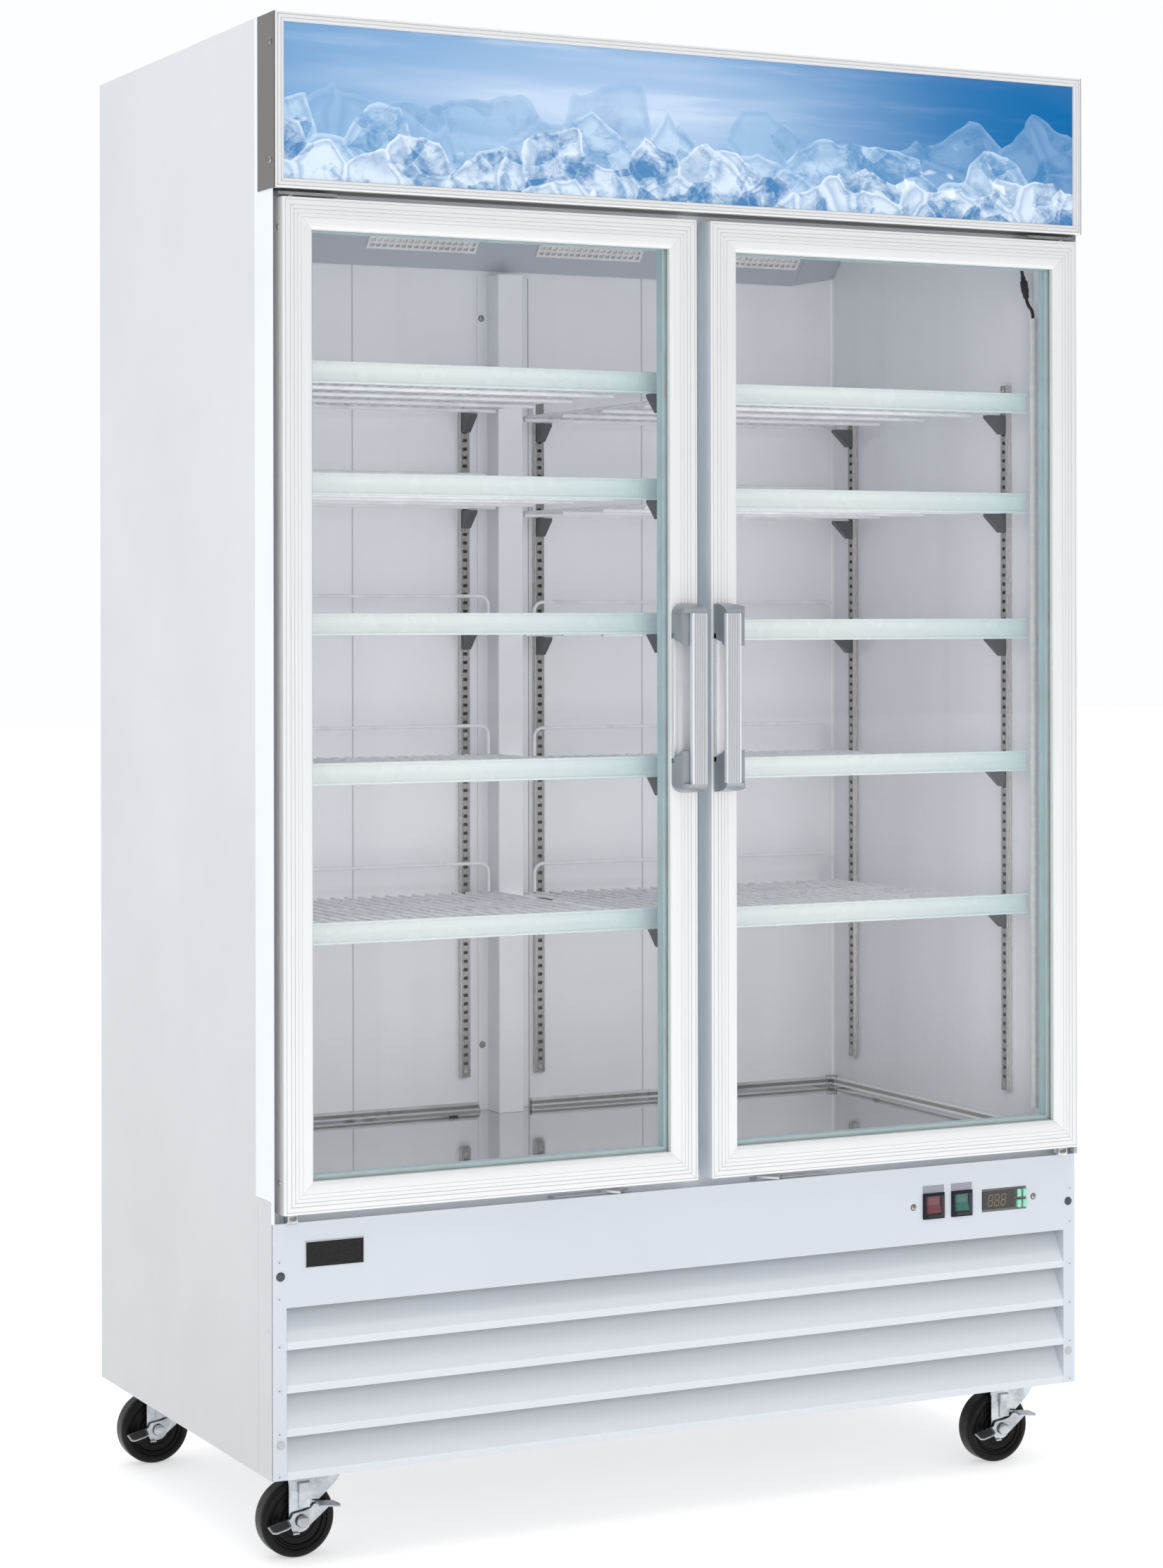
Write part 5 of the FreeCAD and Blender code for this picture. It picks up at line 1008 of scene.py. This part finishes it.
def pilaster():
    """Slotted pilaster standing on the origin and facing -y, with rolled edges and fixings in a lighter
    steel as a painted highlight, and a slotted web with a painted shadow sheet behind its slots.
    """
    length, half, depth = 1018.0, 8.0, 9.0
    pitch, slot_height, first = 12.7, 4.8, 18.0
    count = int((length - 2 * first) // pitch)
    levels = [0.0] + [first + i * pitch + n * slot_height for i in range(count) for n in (0, 1)] + [length]
    shape = grid_plate(Shape(), Vector((0, 0.9, 0)), Vector((1, 0, 0)), Vector((0, 0, 1)), Vector((0, 1, 0)),
                       [-6.2, -3.5, 3.5, 6.2], levels, lambda i, j: not (i == 1 and j % 2 == 1), 1.0)
    shape.box((-6.0, depth - 1.5, 0.0), (6.0, depth - 0.5, length), 1)
    edge = [(-half, depth), (-half, 1.3), (-half + 0.4, 0.4), (-half + 1.2, 0.0), (-half + 1.9, 0.3),
            (-6.0, 1.0), (-6.0, 2.2), (-half + 1.2, 2.2), (-half + 1.2, depth)]
    rail = Shape().prism(edge, "z", 0.0, length, 2)
    shape.join(rail).join(rail.mirrored())
    for z in (9.0, length / 2 + 1.0, length - 9.0):
        shape.lathe([(0.0, 0.2), (2.6, 0.3), (3.2, 0.9), (0.0, 0.9)], 16, 2, facing_front(0, 1.1, z))
    return shape


def pilasters():
    bar = pilaster()
    stand_off, bottom = 9.3, 514.0
    turn = radians(90.0)
    shape = Shape()
    for x in (-62.0, 61.5):
        shape.join(bar, Matrix.Translation((x, WALL_Y - stand_off, bottom)))
    for y in (FACE + 120.0, FACE + 543.0):
        for side in SIDES:
            shape.join(bar, Matrix.Translation((side * (INNER_HALF_WIDTH - stand_off), y, bottom))
                       @ Matrix.Rotation(-turn * side, 4, "Z"))
    for x in (-18.0, 18.0):
        behind_mullion = Matrix.Translation((x, FACE + 42.0 + stand_off, bottom))
        shape.join(bar, behind_mullion @ Matrix.Rotation(2 * turn, 4, "Z"))
    made = piece(shape, "slotted_pilasters", [slotted_steel, slot_dark, highlight_steel], "cabinet")
    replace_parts(made, "shelf_standards")


pilasters()


# ---------------------------------------------------------------- shelves
SHELF_LEVELS = {-1: (1509.0, 1366.0, 1186.0, 994.0, 790.0), 1: (1497.0, 1355.0, 1177.0, 989.0, 786.0)}


def strip_profile(front, top):
    """Concave price strip with a bead at each edge, as (y, z)."""
    height = 29.0
    arc = [i / 12 for i in range(13)]
    face = [(front + 1.4 + 3.4 * (1 - (2 * t - 1) ** 2), top - 3.4 - (height - 6.8) * t) for t in arc]
    back = [(y + 1.6, z) for y, z in reversed(face)]
    upper = [(front + 2.2, top), (front + 0.3, top - 0.4), (front, top - 1.2), (front + 0.2, top - 2.9)]
    lower = [(y, 2 * top - height - z) for y, z in reversed(upper)]
    return upper + face + lower + back


def price_strips():
    """A strip on the front of each shelf, with the lip that holds it."""
    front = box_mm("price_strips")[0].y
    strips = Shape()
    for side, levels in SHELF_LEVELS.items():
        ends = sorted((side * 34.0, side * 560.0))
        for level in levels:
            strips.prism(strip_profile(front, level + 19.0), "x", *ends)
            strips.box((ends[0], front + 5.6, level - 1.0), (ends[1], front + 18.6, level + 1.0))
    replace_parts(piece(strips, "price_strip_mouldings", strip_green, "cabinet", sharp=40.0), "price_strips")


price_strips()


# ---------------------------------------------------------------- ceiling
COVER_LOW = Vector((0, WALL_Y - 2.0, 1716.0))
COVER_HIGH = Vector((0, FACE + 462.0, 1889.5))
COVER_LEFT, COVER_RIGHT, FACET_RIGHT = -579.5, 508.0, 579.5
COVER_SHEET = 2.0
WAFFLE_MIDDLES = (-416.0, -140.0, 136.0, 412.0)
WAFFLE_HALF, WAFFLE_HEIGHT, WAFFLE_START = 88.0, 96.0, 32.0
WAFFLE_LAP = 6.0          # how far a waffle grille laps over the edge of its opening
WAFFLE_COLUMNS, WAFFLE_ROWS = 17, 10
WAFFLE_RIM, WAFFLE_RIB = 4.0, 2.9


def waffle_lines(length, count):
    """The lines of a waffle grille across one direction, where every second gap is an opening."""
    cell = (length - 2 * WAFFLE_RIM - (count - 1) * WAFFLE_RIB) / count
    inner = [WAFFLE_RIM + i * (cell + WAFFLE_RIB) + n * cell for i in range(count) for n in (0, 1)]
    return [0.0] + inner + [length]


def ceiling_cover():
    """Sloped cover below the evaporator, its chamfered end, and four waffle grilles set in it."""
    rise = COVER_HIGH - COVER_LOW
    length = rise.length
    rise.normalize()
    out = Vector((0, rise.z, -rise.y))
    right = Vector((1, 0, 0))
    us = [COVER_LEFT]
    for middle in WAFFLE_MIDDLES:
        us += [middle - WAFFLE_HALF + WAFFLE_LAP, middle + WAFFLE_HALF - WAFFLE_LAP]
    us.append(COVER_RIGHT)
    vs = [0.0, WAFFLE_START + WAFFLE_LAP, WAFFLE_START + WAFFLE_HEIGHT - WAFFLE_LAP, length - 1.0]
    cover = grid_plate(Shape(), COVER_LOW, right, rise, out, us, vs,
                       lambda i, j: not (j == 1 and i % 2 == 1), COVER_SHEET)
    facet = [Vector((COVER_RIGHT, COVER_LOW.y - 2.0, COVER_LOW.z + 1.0)),
             Vector((FACET_RIGHT, COVER_LOW.y - 2.0, COVER_LOW.z + 14.0)),
             Vector((FACET_RIGHT, COVER_HIGH.y + 2.0, COVER_HIGH.z)),
             Vector((COVER_RIGHT, COVER_HIGH.y, COVER_HIGH.z))]
    thick = Vector((0, COVER_SHEET, 0))
    faces = [(0, 1, 2), (0, 2, 3), (4, 6, 5), (4, 7, 6)]
    faces += [(0, 4, 5, 1), (1, 5, 6, 2), (2, 6, 7, 3), (3, 7, 4, 0)]
    cover.add([*facet, *[p + thick for p in facet]], faces)
    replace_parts(piece(cover, "ceiling_cover", cover_blue, "cabinet"), "evaporator_cover")

    waffle = Shape()
    across = waffle_lines(2 * WAFFLE_HALF, WAFFLE_COLUMNS)
    upwards = waffle_lines(WAFFLE_HEIGHT, WAFFLE_ROWS)
    for middle in WAFFLE_MIDDLES:
        corner = COVER_LOW + right * (middle - WAFFLE_HALF) + rise * WAFFLE_START
        grid_plate(waffle, corner - out * 3.0, right, rise, out, across, upwards,
                   lambda i, j: not (i % 2 == 1 and j % 2 == 1), 11.0)
        grid_plate(waffle, corner + right + rise + out * 0.4, right, rise, out,
                   [0.0, 2 * WAFFLE_HALF - 2.0], [0.0, WAFFLE_HEIGHT - 2.0], lambda i, j: True, 1.5)
    piece(waffle, "ceiling_waffles", waffle_plastic, "cabinet")


ceiling_cover()


# ---------------------------------------------------------------- controls
def ring_bezel(shape, x0, x1, z0, z1, window, front, back):
    """A rectangular rim from front to back with a rectangular opening."""
    wx0, wx1, wz0, wz1 = window
    us, vs = [x0, wx0, wx1, x1], [z0, wz0, wz1, z1]
    return grid_plate(shape, Vector((0, front, 0)), Vector((1, 0, 0)), Vector((0, 0, 1)), Vector((0, 1, 0)),
                      us, vs, lambda i, j: not (i == 1 and j == 1), back - front)


SCREEN_X = (453.2, 506.5)
SCREEN_Z = (369.5, 394.5)
DIGITS_X, DIGITS_Z, DIGIT_PITCH = 461.4, 374.0, 10.8
BUTTONS = ["controller_button_%d" % n for n in (1, 2, 3, 4)]
SWITCHES_X = ((355.0, 389.5), (401.5, 435.5))
SWITCH_LOW, SWITCH_HIGH = 364.0, 400.0


def controller_case():
    """The controller's housing with its screen opening and button wells, and the screen behind it."""
    low, high = box_mm("controller_case")
    case = ring_bezel(Shape(), low.x, high.x, low.z, high.z, SCREEN_X + SCREEN_Z, low.y, FACE)
    case.box((low.x + 2.3, FACE, low.z + 2.3), (high.x - 2.3, high.y, high.z - 2.3))
    wells = []
    for b_low, b_high in map(box_mm, BUTTONS):
        wells.append(Shape().box((b_low.x - 0.6, low.y - 1.0, b_low.z - 0.6),
                                 (b_high.x + 0.6, b_high.y + 4.0, b_high.z + 0.6)))
    housing = piece(cut(case, wells), "controller_housing", grey_bezel, "cabinet", bevel=0.5)
    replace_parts(housing, "controller_case")
    screen = Shape().box((SCREEN_X[0], FACE - 1.6, SCREEN_Z[0]), (SCREEN_X[1], FACE - 0.2, SCREEN_Z[1]))
    smoke = plastic("screen_smoke", (0.010, 0.009, 0.008), 0.12, 900.0, 0.00001, Coat_Weight=0.6)
    piece(screen, "controller_screen", smoke, "cabinet")


def seven_segments(shape, x, z, width, height, y, stroke):
    """The figure 8 in seven bars, leaning a little."""
    half = height / 2
    thin, short, long = stroke / 2, 0.4 * stroke, 0.7 * stroke
    lean = 0.15
    bars = []
    for level in (0.0, half, height):
        bars.append(((short, level - thin), (width - short, level + thin)))
    for level in (0.0, half):
        for across in (0.0, width):
            bars.append(((across - thin, level + long), (across + thin, level + half - long)))
    for (x0, z0), (x1, z1) in bars:
        corners = [(x + cx + lean * cz, y, z + cz) for cx, cz in ((x0, z0), (x1, z0), (x1, z1), (x0, z1))]
        shape.loft([corners, [(cx, cy + 0.15, cz) for cx, cy, cz in corners]])
    return shape


def display_digits():
    """Three unlit digits and a point on the screen."""
    digits = Shape()
    for i in range(3):
        seven_segments(digits, DIGITS_X + i * DIGIT_PITCH, DIGITS_Z, 6.6, 15.6, FACE - 1.75, 1.3)
    digits.box((480.6, FACE - 1.75, 373.0), (481.8, FACE - 1.6, 374.2))
    piece(digits, "display_digits", plastic("digit_tan", (0.26, 0.19, 0.13), 0.4), "cabinet")


def push_buttons():
    mint = plastic("button_mint", (0.33, 0.72, 0.56), 0.35, 900.0, 0.00005, Subsurface_Weight=0.1)
    for n, node_name in enumerate(BUTTONS, 1):
        low, high = box_mm(node_name)
        button = Shape().box(low, (high.x, high.y - 0.5, high.z))
        body = next(b for b, e in frame["bodies"].items() if nodes[node_name].parent == e)
        made = piece(button, "push_button_%d" % n, mint, body, bevel=0.9, segments=3)
        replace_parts(made, node_name)


def switches():
    """The two rocker switches' bezels and housings, blank label plates and clear hoods."""
    bezels = Shape()
    labels = Shape()
    hoods = Shape()
    for x0, x1 in SWITCHES_X:
        inner = (x0 + 5.0, x1 - 5.0, SWITCH_LOW + 5.0, SWITCH_HIGH - 5.0)
        ring_bezel(bezels, x0, x1, SWITCH_LOW, SWITCH_HIGH, inner, FACE - 3.0, FACE + 2.0)
        bore = (x0 + 4.4, x1 - 4.4, SWITCH_LOW + 4.4, SWITCH_HIGH - 4.4)
        ring_bezel(bezels, x0 + 2.3, x1 - 2.3, SWITCH_LOW + 2.3, SWITCH_HIGH - 2.3, bore,
                   FACE + 2.0, FACE + 26.0)
        labels.box((x0, FACE - 0.7, 401.2), (x1, FACE, 410.0))
        left, right, low, high = x0 + 4.0, x1 - 3.0, SWITCH_LOW + 3.0, SWITCH_HIGH - 3.0
        ring_bezel(hoods, left, right, low, high, (left + 1.4, right - 1.4, low + 1.4, high - 1.4),
                   FACE - 8.2, FACE - 3.0)
        hoods.box((left, FACE - 9.0, low), (right, FACE - 8.2, high))
    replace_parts(piece(bezels, "switch_housings", black_plastic, "cabinet", bevel=0.5), "switch_bezels")
    plate = satin_metal("label_plate", (0.40, 0.41, 0.47), (1, 1, 1), 0.4)
    piece(labels, "switch_label_plates", plate, "cabinet", bevel=0.2)
    piece(hoods, "switch_hoods", clear_cover, "cabinet")


controller_case()
display_digits()
push_buttons()
switches()
ROCKERS = (("power_rocker", plastic("rocker_red", (0.155, 0.014, 0.030), 0.25, Coat_Weight=0.4)),
           ("light_rocker", plastic("rocker_green", (0.0015, 0.135, 0.105), 0.25, Coat_Weight=0.4)))
for node_name, finish in ROCKERS:
    nodes[node_name].data.materials.clear()
    nodes[node_name].data.materials.append(finish)


# ---------------------------------------------------------------- casters
WHEEL_RADIUS = 50.0
WHEEL_SIDE = [
    (40.5, 15.0), (39.6, 14.2), (38.6, 12.4), (36.8, 12.2), (36.0, 13.2), (35.0, 14.4), (33.6, 14.2),
    (32.0, 11.8), (26.5, 11.2), (25.6, 12.0), (24.4, 12.0), (23.6, 11.0), (18.5, 10.6), (17.6, 11.6),
    (16.4, 11.6), (15.4, 10.8), (13.2, 10.8), (12.6, 17.6), (11.6, 18.1), (5.1, 18.1),
]
LEVER_OUTLINE = [
    (-43.0, -7.0), (-34.0, -9.5), (-27.0, -10.0), (-21.0, -4.0), (-14.5, -8.0), (-12.0, -14.5),
    (-4.0, -14.5), (3.0, -11.5), (10.0, -7.0), (27.0, 6.0), (38.0, 15.0), (39.0, 18.5), (17.0, 20.5),
    (12.0, 15.5), (4.0, 13.0), (-7.0, 11.5), (-12.0, 10.5), (-15.5, 4.5), (-22.0, 2.0), (-43.0, -2.5),
]
PEDAL_TONGUE = [(-15.0, 6.0), (14.0, 6.0), (12.5, -7.0), (7.0, -9.0), (-9.0, -9.0), (-14.0, -6.0)]
RELEASE_FLAP = [(-13.0, 5.6), (13.0, 5.6), (19.0, -3.0), (18.0, -8.5), (-10.0, -8.5)]


def caster(corner):
    """Wheel, yoke with axle bolt, and brake lever of one caster, modelled about its swivel axis."""
    plate_low, plate_high = box_mm("caster_wheel_" + corner)
    axle = (plate_low + plate_high) / 2
    axle.z = WHEEL_RADIUS
    place = Matrix.Translation((axle.x, axle.y, 0.0))
    turned = Matrix.Translation(axle) @ Matrix.Rotation(radians(90.0), 4, "X")
    quarter = [pi / 2 * i / 6 for i in range(7)]
    shoulder = 6.5
    rim_half = [(WHEEL_RADIUS - shoulder * (1 - cos(a)), 15.0 - shoulder * (1 - sin(a))) for a in quarter]
    side_half = rim_half + WHEEL_SIDE
    tread = [(WHEEL_RADIUS, -4.0), (WHEEL_RADIUS, 4.0)]
    profile = [(r, -h) for r, h in reversed(side_half)] + tread + side_half + [(5.1, -18.1)]
    wheel = Shape().lathe(profile, 96, place=turned)
    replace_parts(piece(wheel, "wheel_" + corner, black_wheel, "caster_roller_" + corner, sharp=42.0),
                "caster_wheel_" + corner)

    yoke = Shape()
    outer_y, sheet = 21.5, 2.6
    trail = 22.0
    arc = [pi / 2 * i / 10 for i in range(11)]
    columns = []
    flat_end = 20.0 + trail
    for i in range(25):
        x = -16.0 + (flat_end + 16.0) * i / 24
        columns.append((x, -outer_y, 0.0, 1.0))
    bend = outer_y
    for a in arc[1:]:
        columns.append((flat_end + bend * sin(a), -outer_y + bend * (1 - cos(a)), sin(a), cos(a)))

    def low_edge(x):
        """Height of the fork's lower edge: round below the axle, then sloping up behind it."""
        if x < -15.0:
            return 50.0
        if x <= 15.0:
            return 50.0 - sqrt(15.0 ** 2 - x * x)
        return max(50.0 + (x - 15.0) * 4.0, 56.0) if x < 20.0 else 70.0 + (x - 20.0) * 0.85

    rings = []
    for x, y, nx, ny in columns:
        z = low_edge(x)
        inner = (x - nx * sheet, y + ny * sheet)
        rings.append([(x, y, z), (x, y, 106.5), (inner[0], inner[1], 106.5), (inner[0], inner[1], z)])
    back = [[(x, -y, z) for x, y, z in ring] for ring in reversed(rings[:-1])]
    yoke.loft(rings + back, place=place)
    crown = [(-16.0, -outer_y), (flat_end, -outer_y)]
    crown += [(flat_end + bend * sin(a), -outer_y + bend * (1 - cos(a))) for a in arc]
    crown += [(flat_end + bend * sin(a), outer_y - bend * (1 - cos(a))) for a in reversed(arc)]
    crown += [(flat_end, outer_y), (-16.0, outer_y)]
    yoke.prism(crown, "z", 104.2, 107.0, place=place)
    yoke.lathe([(0.0, 110.0), (24.0, 110.0), (26.6, 109.2), (27.0, 108.0), (27.0, 106.8), (0.0, 106.8)], 40,
               place=place @ Matrix.Translation((trail, 0, 0)))
    for y in (-outer_y - 1.5, outer_y + 0.1):
        lift = -1.0 if y < 0 else 1.0
        yoke.box((-3.0, min(y, y + lift), 66.0), (12.0, y + 1.4, 99.0), place=place)
        outermost = y + 1.4 + max(0.0, 2.0 * lift)
        yoke.box((-3.5, min(y, y + 3.0 * lift), 86.0), (11.5, outermost, 98.0), place=place)
    hexagon = [(8.2 * cos(pi / 3 * i), 8.2 * sin(pi / 3 * i)) for i in range(6)]
    yoke.loft([[(x, y, 50.0 + z) for x, z in hexagon] for y in (-30.4, -26.6)], place=place)
    yoke.lathe([(0.0, 31.2), (5.6, 31.2), (7.4, 30.6), (8.2, 29.6)], 30, place=turned)
    yoke.loft([[(x, y, 50.0 + z) for x, z in hexagon] for y in (21.6, 27.0)], place=place)
    yoke.lathe([(0.0, -30.0), (4.6, -29.8), (5.0, -29.0), (5.0, 26.8), (0.0, 26.8)], 24, place=turned)
    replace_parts(piece(yoke, "yoke_" + corner, zinc_plate, "caster_swivel_" + corner, bevel=0.35),
                "caster_fork_" + corner)

    lever = Shape()
    front = -26.2
    back_y = -23.6
    lever.prism([(x, WHEEL_RADIUS + z) for x, z in LEVER_OUTLINE], "y", front, back_y, place=place)
    pedal = Matrix.Translation((-31.0, front - 4.0, 47.5)) @ Matrix.Rotation(radians(-14.0), 4, "Y") \
        @ Matrix.Rotation(radians(30.0), 4, "X")
    lever.prism(PEDAL_TONGUE, "z", -1.2, 1.2, place=place @ pedal)
    tab = Matrix.Translation((30.0, front - 4.6, 70.6)) @ Matrix.Rotation(radians(6.0), 4, "Y") \
        @ Matrix.Rotation(radians(14.0), 4, "X")
    lever.prism(RELEASE_FLAP, "z", -1.2, 1.2, place=place @ tab)
    lever.box((-14.0, front - 5.0, 34.8), (-5.0, back_y, 37.0), place=place)
    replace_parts(piece(lever, "brake_" + corner, zinc_plate, "caster_lever_" + corner, bevel=0.5),
                "caster_brake_" + corner)
    pad_outline = [(x * 0.82 - 0.5, y * 0.8) for x, y in PEDAL_TONGUE]
    pad = Shape().prism(pad_outline, "z", 1.15, 1.5, place=place @ pedal)
    black = plastic("pad_black_" + corner, (0.03, 0.03, 0.034), 0.4)
    piece(pad, "brake_pad_" + corner, black, "caster_lever_" + corner)


for corner in ("front_left", "front_right", "rear_left", "rear_right"):
    caster(corner)


# ---------------------------------------------------------------- leads of the jamb lights
def lead(name, route, diameter, body):
    """A black lead along a smooth NURBS line."""
    curve = bpy.data.curves.new(name, "CURVE")
    curve.dimensions = "3D"
    curve.bevel_depth = diameter / 2 * MM
    curve.bevel_resolution = 5
    curve.use_fill_caps = True
    spline = curve.splines.new("NURBS")
    spline.points.add(len(route) - 1)
    for point, place in zip(spline.points, route):
        point.co = (*(Vector(place) * MM), 1.0)
    spline.order_u = 3
    spline.use_endpoint_u = True
    spline.resolution_u = 12
    curve.materials.append(black_cable)
    made = bpy.data.objects.new(name, curve)
    bpy.context.scene.collection.objects.link(made)
    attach(made, body)
    return made


TUBE_X, TUBE_Y = 565.5, FACE + 36.0
LEAD_DIAMETER = 4.8
CONNECTOR_PROFILE = [
    (0.0, 0.0), (3.4, 0.0), (3.6, 5.0), (5.4, 7.0), (5.5, 15.0), (5.0, 15.5), (5.0, 16.5), (5.5, 17.0),
    (5.5, 22.0), (4.4, 24.0), (4.2, 31.0), (3.2, 32.0), (0.0, 32.0),
]
ALONG = Vector((0.5, -8.0, -31.0)).normalized()
LEAD_BEND = Vector((TUBE_X - 3.0, TUBE_Y + 29.0, 1712.0))
CONNECTOR_TOP = LEAD_BEND + ALONG * 30.0
CONNECTOR_FOOT = CONNECTOR_TOP + ALONG * 32.0
UPPER_ROUTE = [
    (TUBE_X - 4.0, TUBE_Y + 34.0, 1889.6), (TUBE_X - 5.0, TUBE_Y + 35.0, 1850.0),
    (TUBE_X - 4.0, TUBE_Y + 36.0, 1800.0), (TUBE_X - 4.0, TUBE_Y + 34.0, 1752.0), LEAD_BEND, CONNECTOR_TOP,
]
LOWER_ROUTE = [
    CONNECTOR_FOOT, CONNECTOR_FOOT + ALONG * 10.0, (TUBE_X, TUBE_Y, 1633.0), (TUBE_X, TUBE_Y, 1622.1),
]


def light_leads(side, hand):
    """The two runs of one jamb light's lead and the connector between them."""
    def flip(point):
        return (side * point[0], point[1], point[2])

    upper = [flip(p) for p in UPPER_ROUTE]
    lower = [flip(p) for p in LOWER_ROUTE]
    turn = Vector(flip(ALONG)).to_track_quat("Z", "Y").to_matrix().to_4x4()
    plug = Shape().lathe(CONNECTOR_PROFILE, 24, place=Matrix.Translation(flip(CONNECTOR_TOP)) @ turn)
    connector = piece(plug, "light_connector_" + hand, black_cable, "cabinet")
    made = lead("light_lead_upper_" + hand, upper, LEAD_DIAMETER, "cabinet")
    if side < 0:
        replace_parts(made, "led_leads")
    lead("light_lead_lower_" + hand, lower, LEAD_DIAMETER, "cabinet")


light_leads(-1, "left")
light_leads(1, "right")


# ---------------------------------------------------------------- stage and light
def pale_floor():
    finish = Finish("studio_floor", 0.9, Emission_Color=(1.0, 1.0, 1.0, 1.0), Emission_Strength=0.5)
    finish.colour(finish.mix(finish.noise(3.0, 3.0), (0.70, 0.70, 0.70), (0.72, 0.72, 0.72)))
    half = 30.0
    data = bpy.data.meshes.new("studio_floor")
    corners = [(-half, -half, 0), (half, -half, 0), (half, half, 0), (-half, half, 0)]
    data.from_pydata(corners, [], [(0, 1, 2, 3)])
    data.materials.append(finish.material)
    floor = bpy.data.objects.new("studio_floor", data)
    bpy.context.scene.collection.objects.link(floor)


def studio_world():
    """White surroundings, dimmer in front of the object and in a band low behind it."""
    world = bpy.data.worlds.new("studio")
    bpy.context.scene.world = world
    world.use_nodes = True
    sky = Nodes(world.node_tree, "Generated")
    _, depth, height = sky.axes()
    ahead = sky.span(depth, -0.75, 0.1, 0.55, 1.0)
    behind = sky.span(depth, -0.25, -0.55, 0.0, 0.62)
    band = sky.span(sky.math("ABSOLUTE", height), 0.10, 0.32, 1.0, 0.0, True)
    strength = sky.times(ahead, sky.math("SUBTRACT", 1.0, sky.times(behind, band)))
    background = world.node_tree.nodes["Background"]
    sky.feed(background.inputs["Strength"], strength)
    background.inputs["Color"].default_value = (0.985, 0.99, 1.0, 1.0)


def softbox(name, place, target, width, height, power, colour=(1.0, 1.0, 1.0)):
    data = bpy.data.lights.new(name, "AREA")
    data.shape = "RECTANGLE"
    data.size = width
    data.size_y = height
    data.energy = power
    data.color = colour
    lamp = bpy.data.objects.new(name, data)
    bpy.context.scene.collection.objects.link(lamp)
    lamp.location = place
    lamp.rotation_euler = (Vector(target) - Vector(place)).to_track_quat("-Z", "Y").to_euler()
    lamp.visible_glossy = False
    lamp.visible_camera = False


pale_floor()
studio_world()
softbox("key_light", (-0.6, -5.6, 1.9), (0.0, 0.0, 1.0), 3.6, 3.4, 80.0)
softbox("side_light", (-5.5, -1.0, 2.4), (0.0, 0.0, 1.0), 2.4, 3.0, 8.0, (0.96, 0.98, 1.0))
for x in (-0.30, 0.30):
    softbox("inside_light", (x, -0.245, 1.09), (x, 0.3, 1.09), 0.5, 1.15, 0.9, (0.98, 0.985, 1.0))
softbox("top_light", (0.0, -0.6, 4.8), (0.0, 0.0, 1.0), 4.0, 4.0, 45.0)
bpy.context.scene.view_settings.view_transform = "Standard"
bpy.context.scene.cycles.transparent_max_bounces = 32
bpy.context.scene.cycles.diffuse_bounces = 6
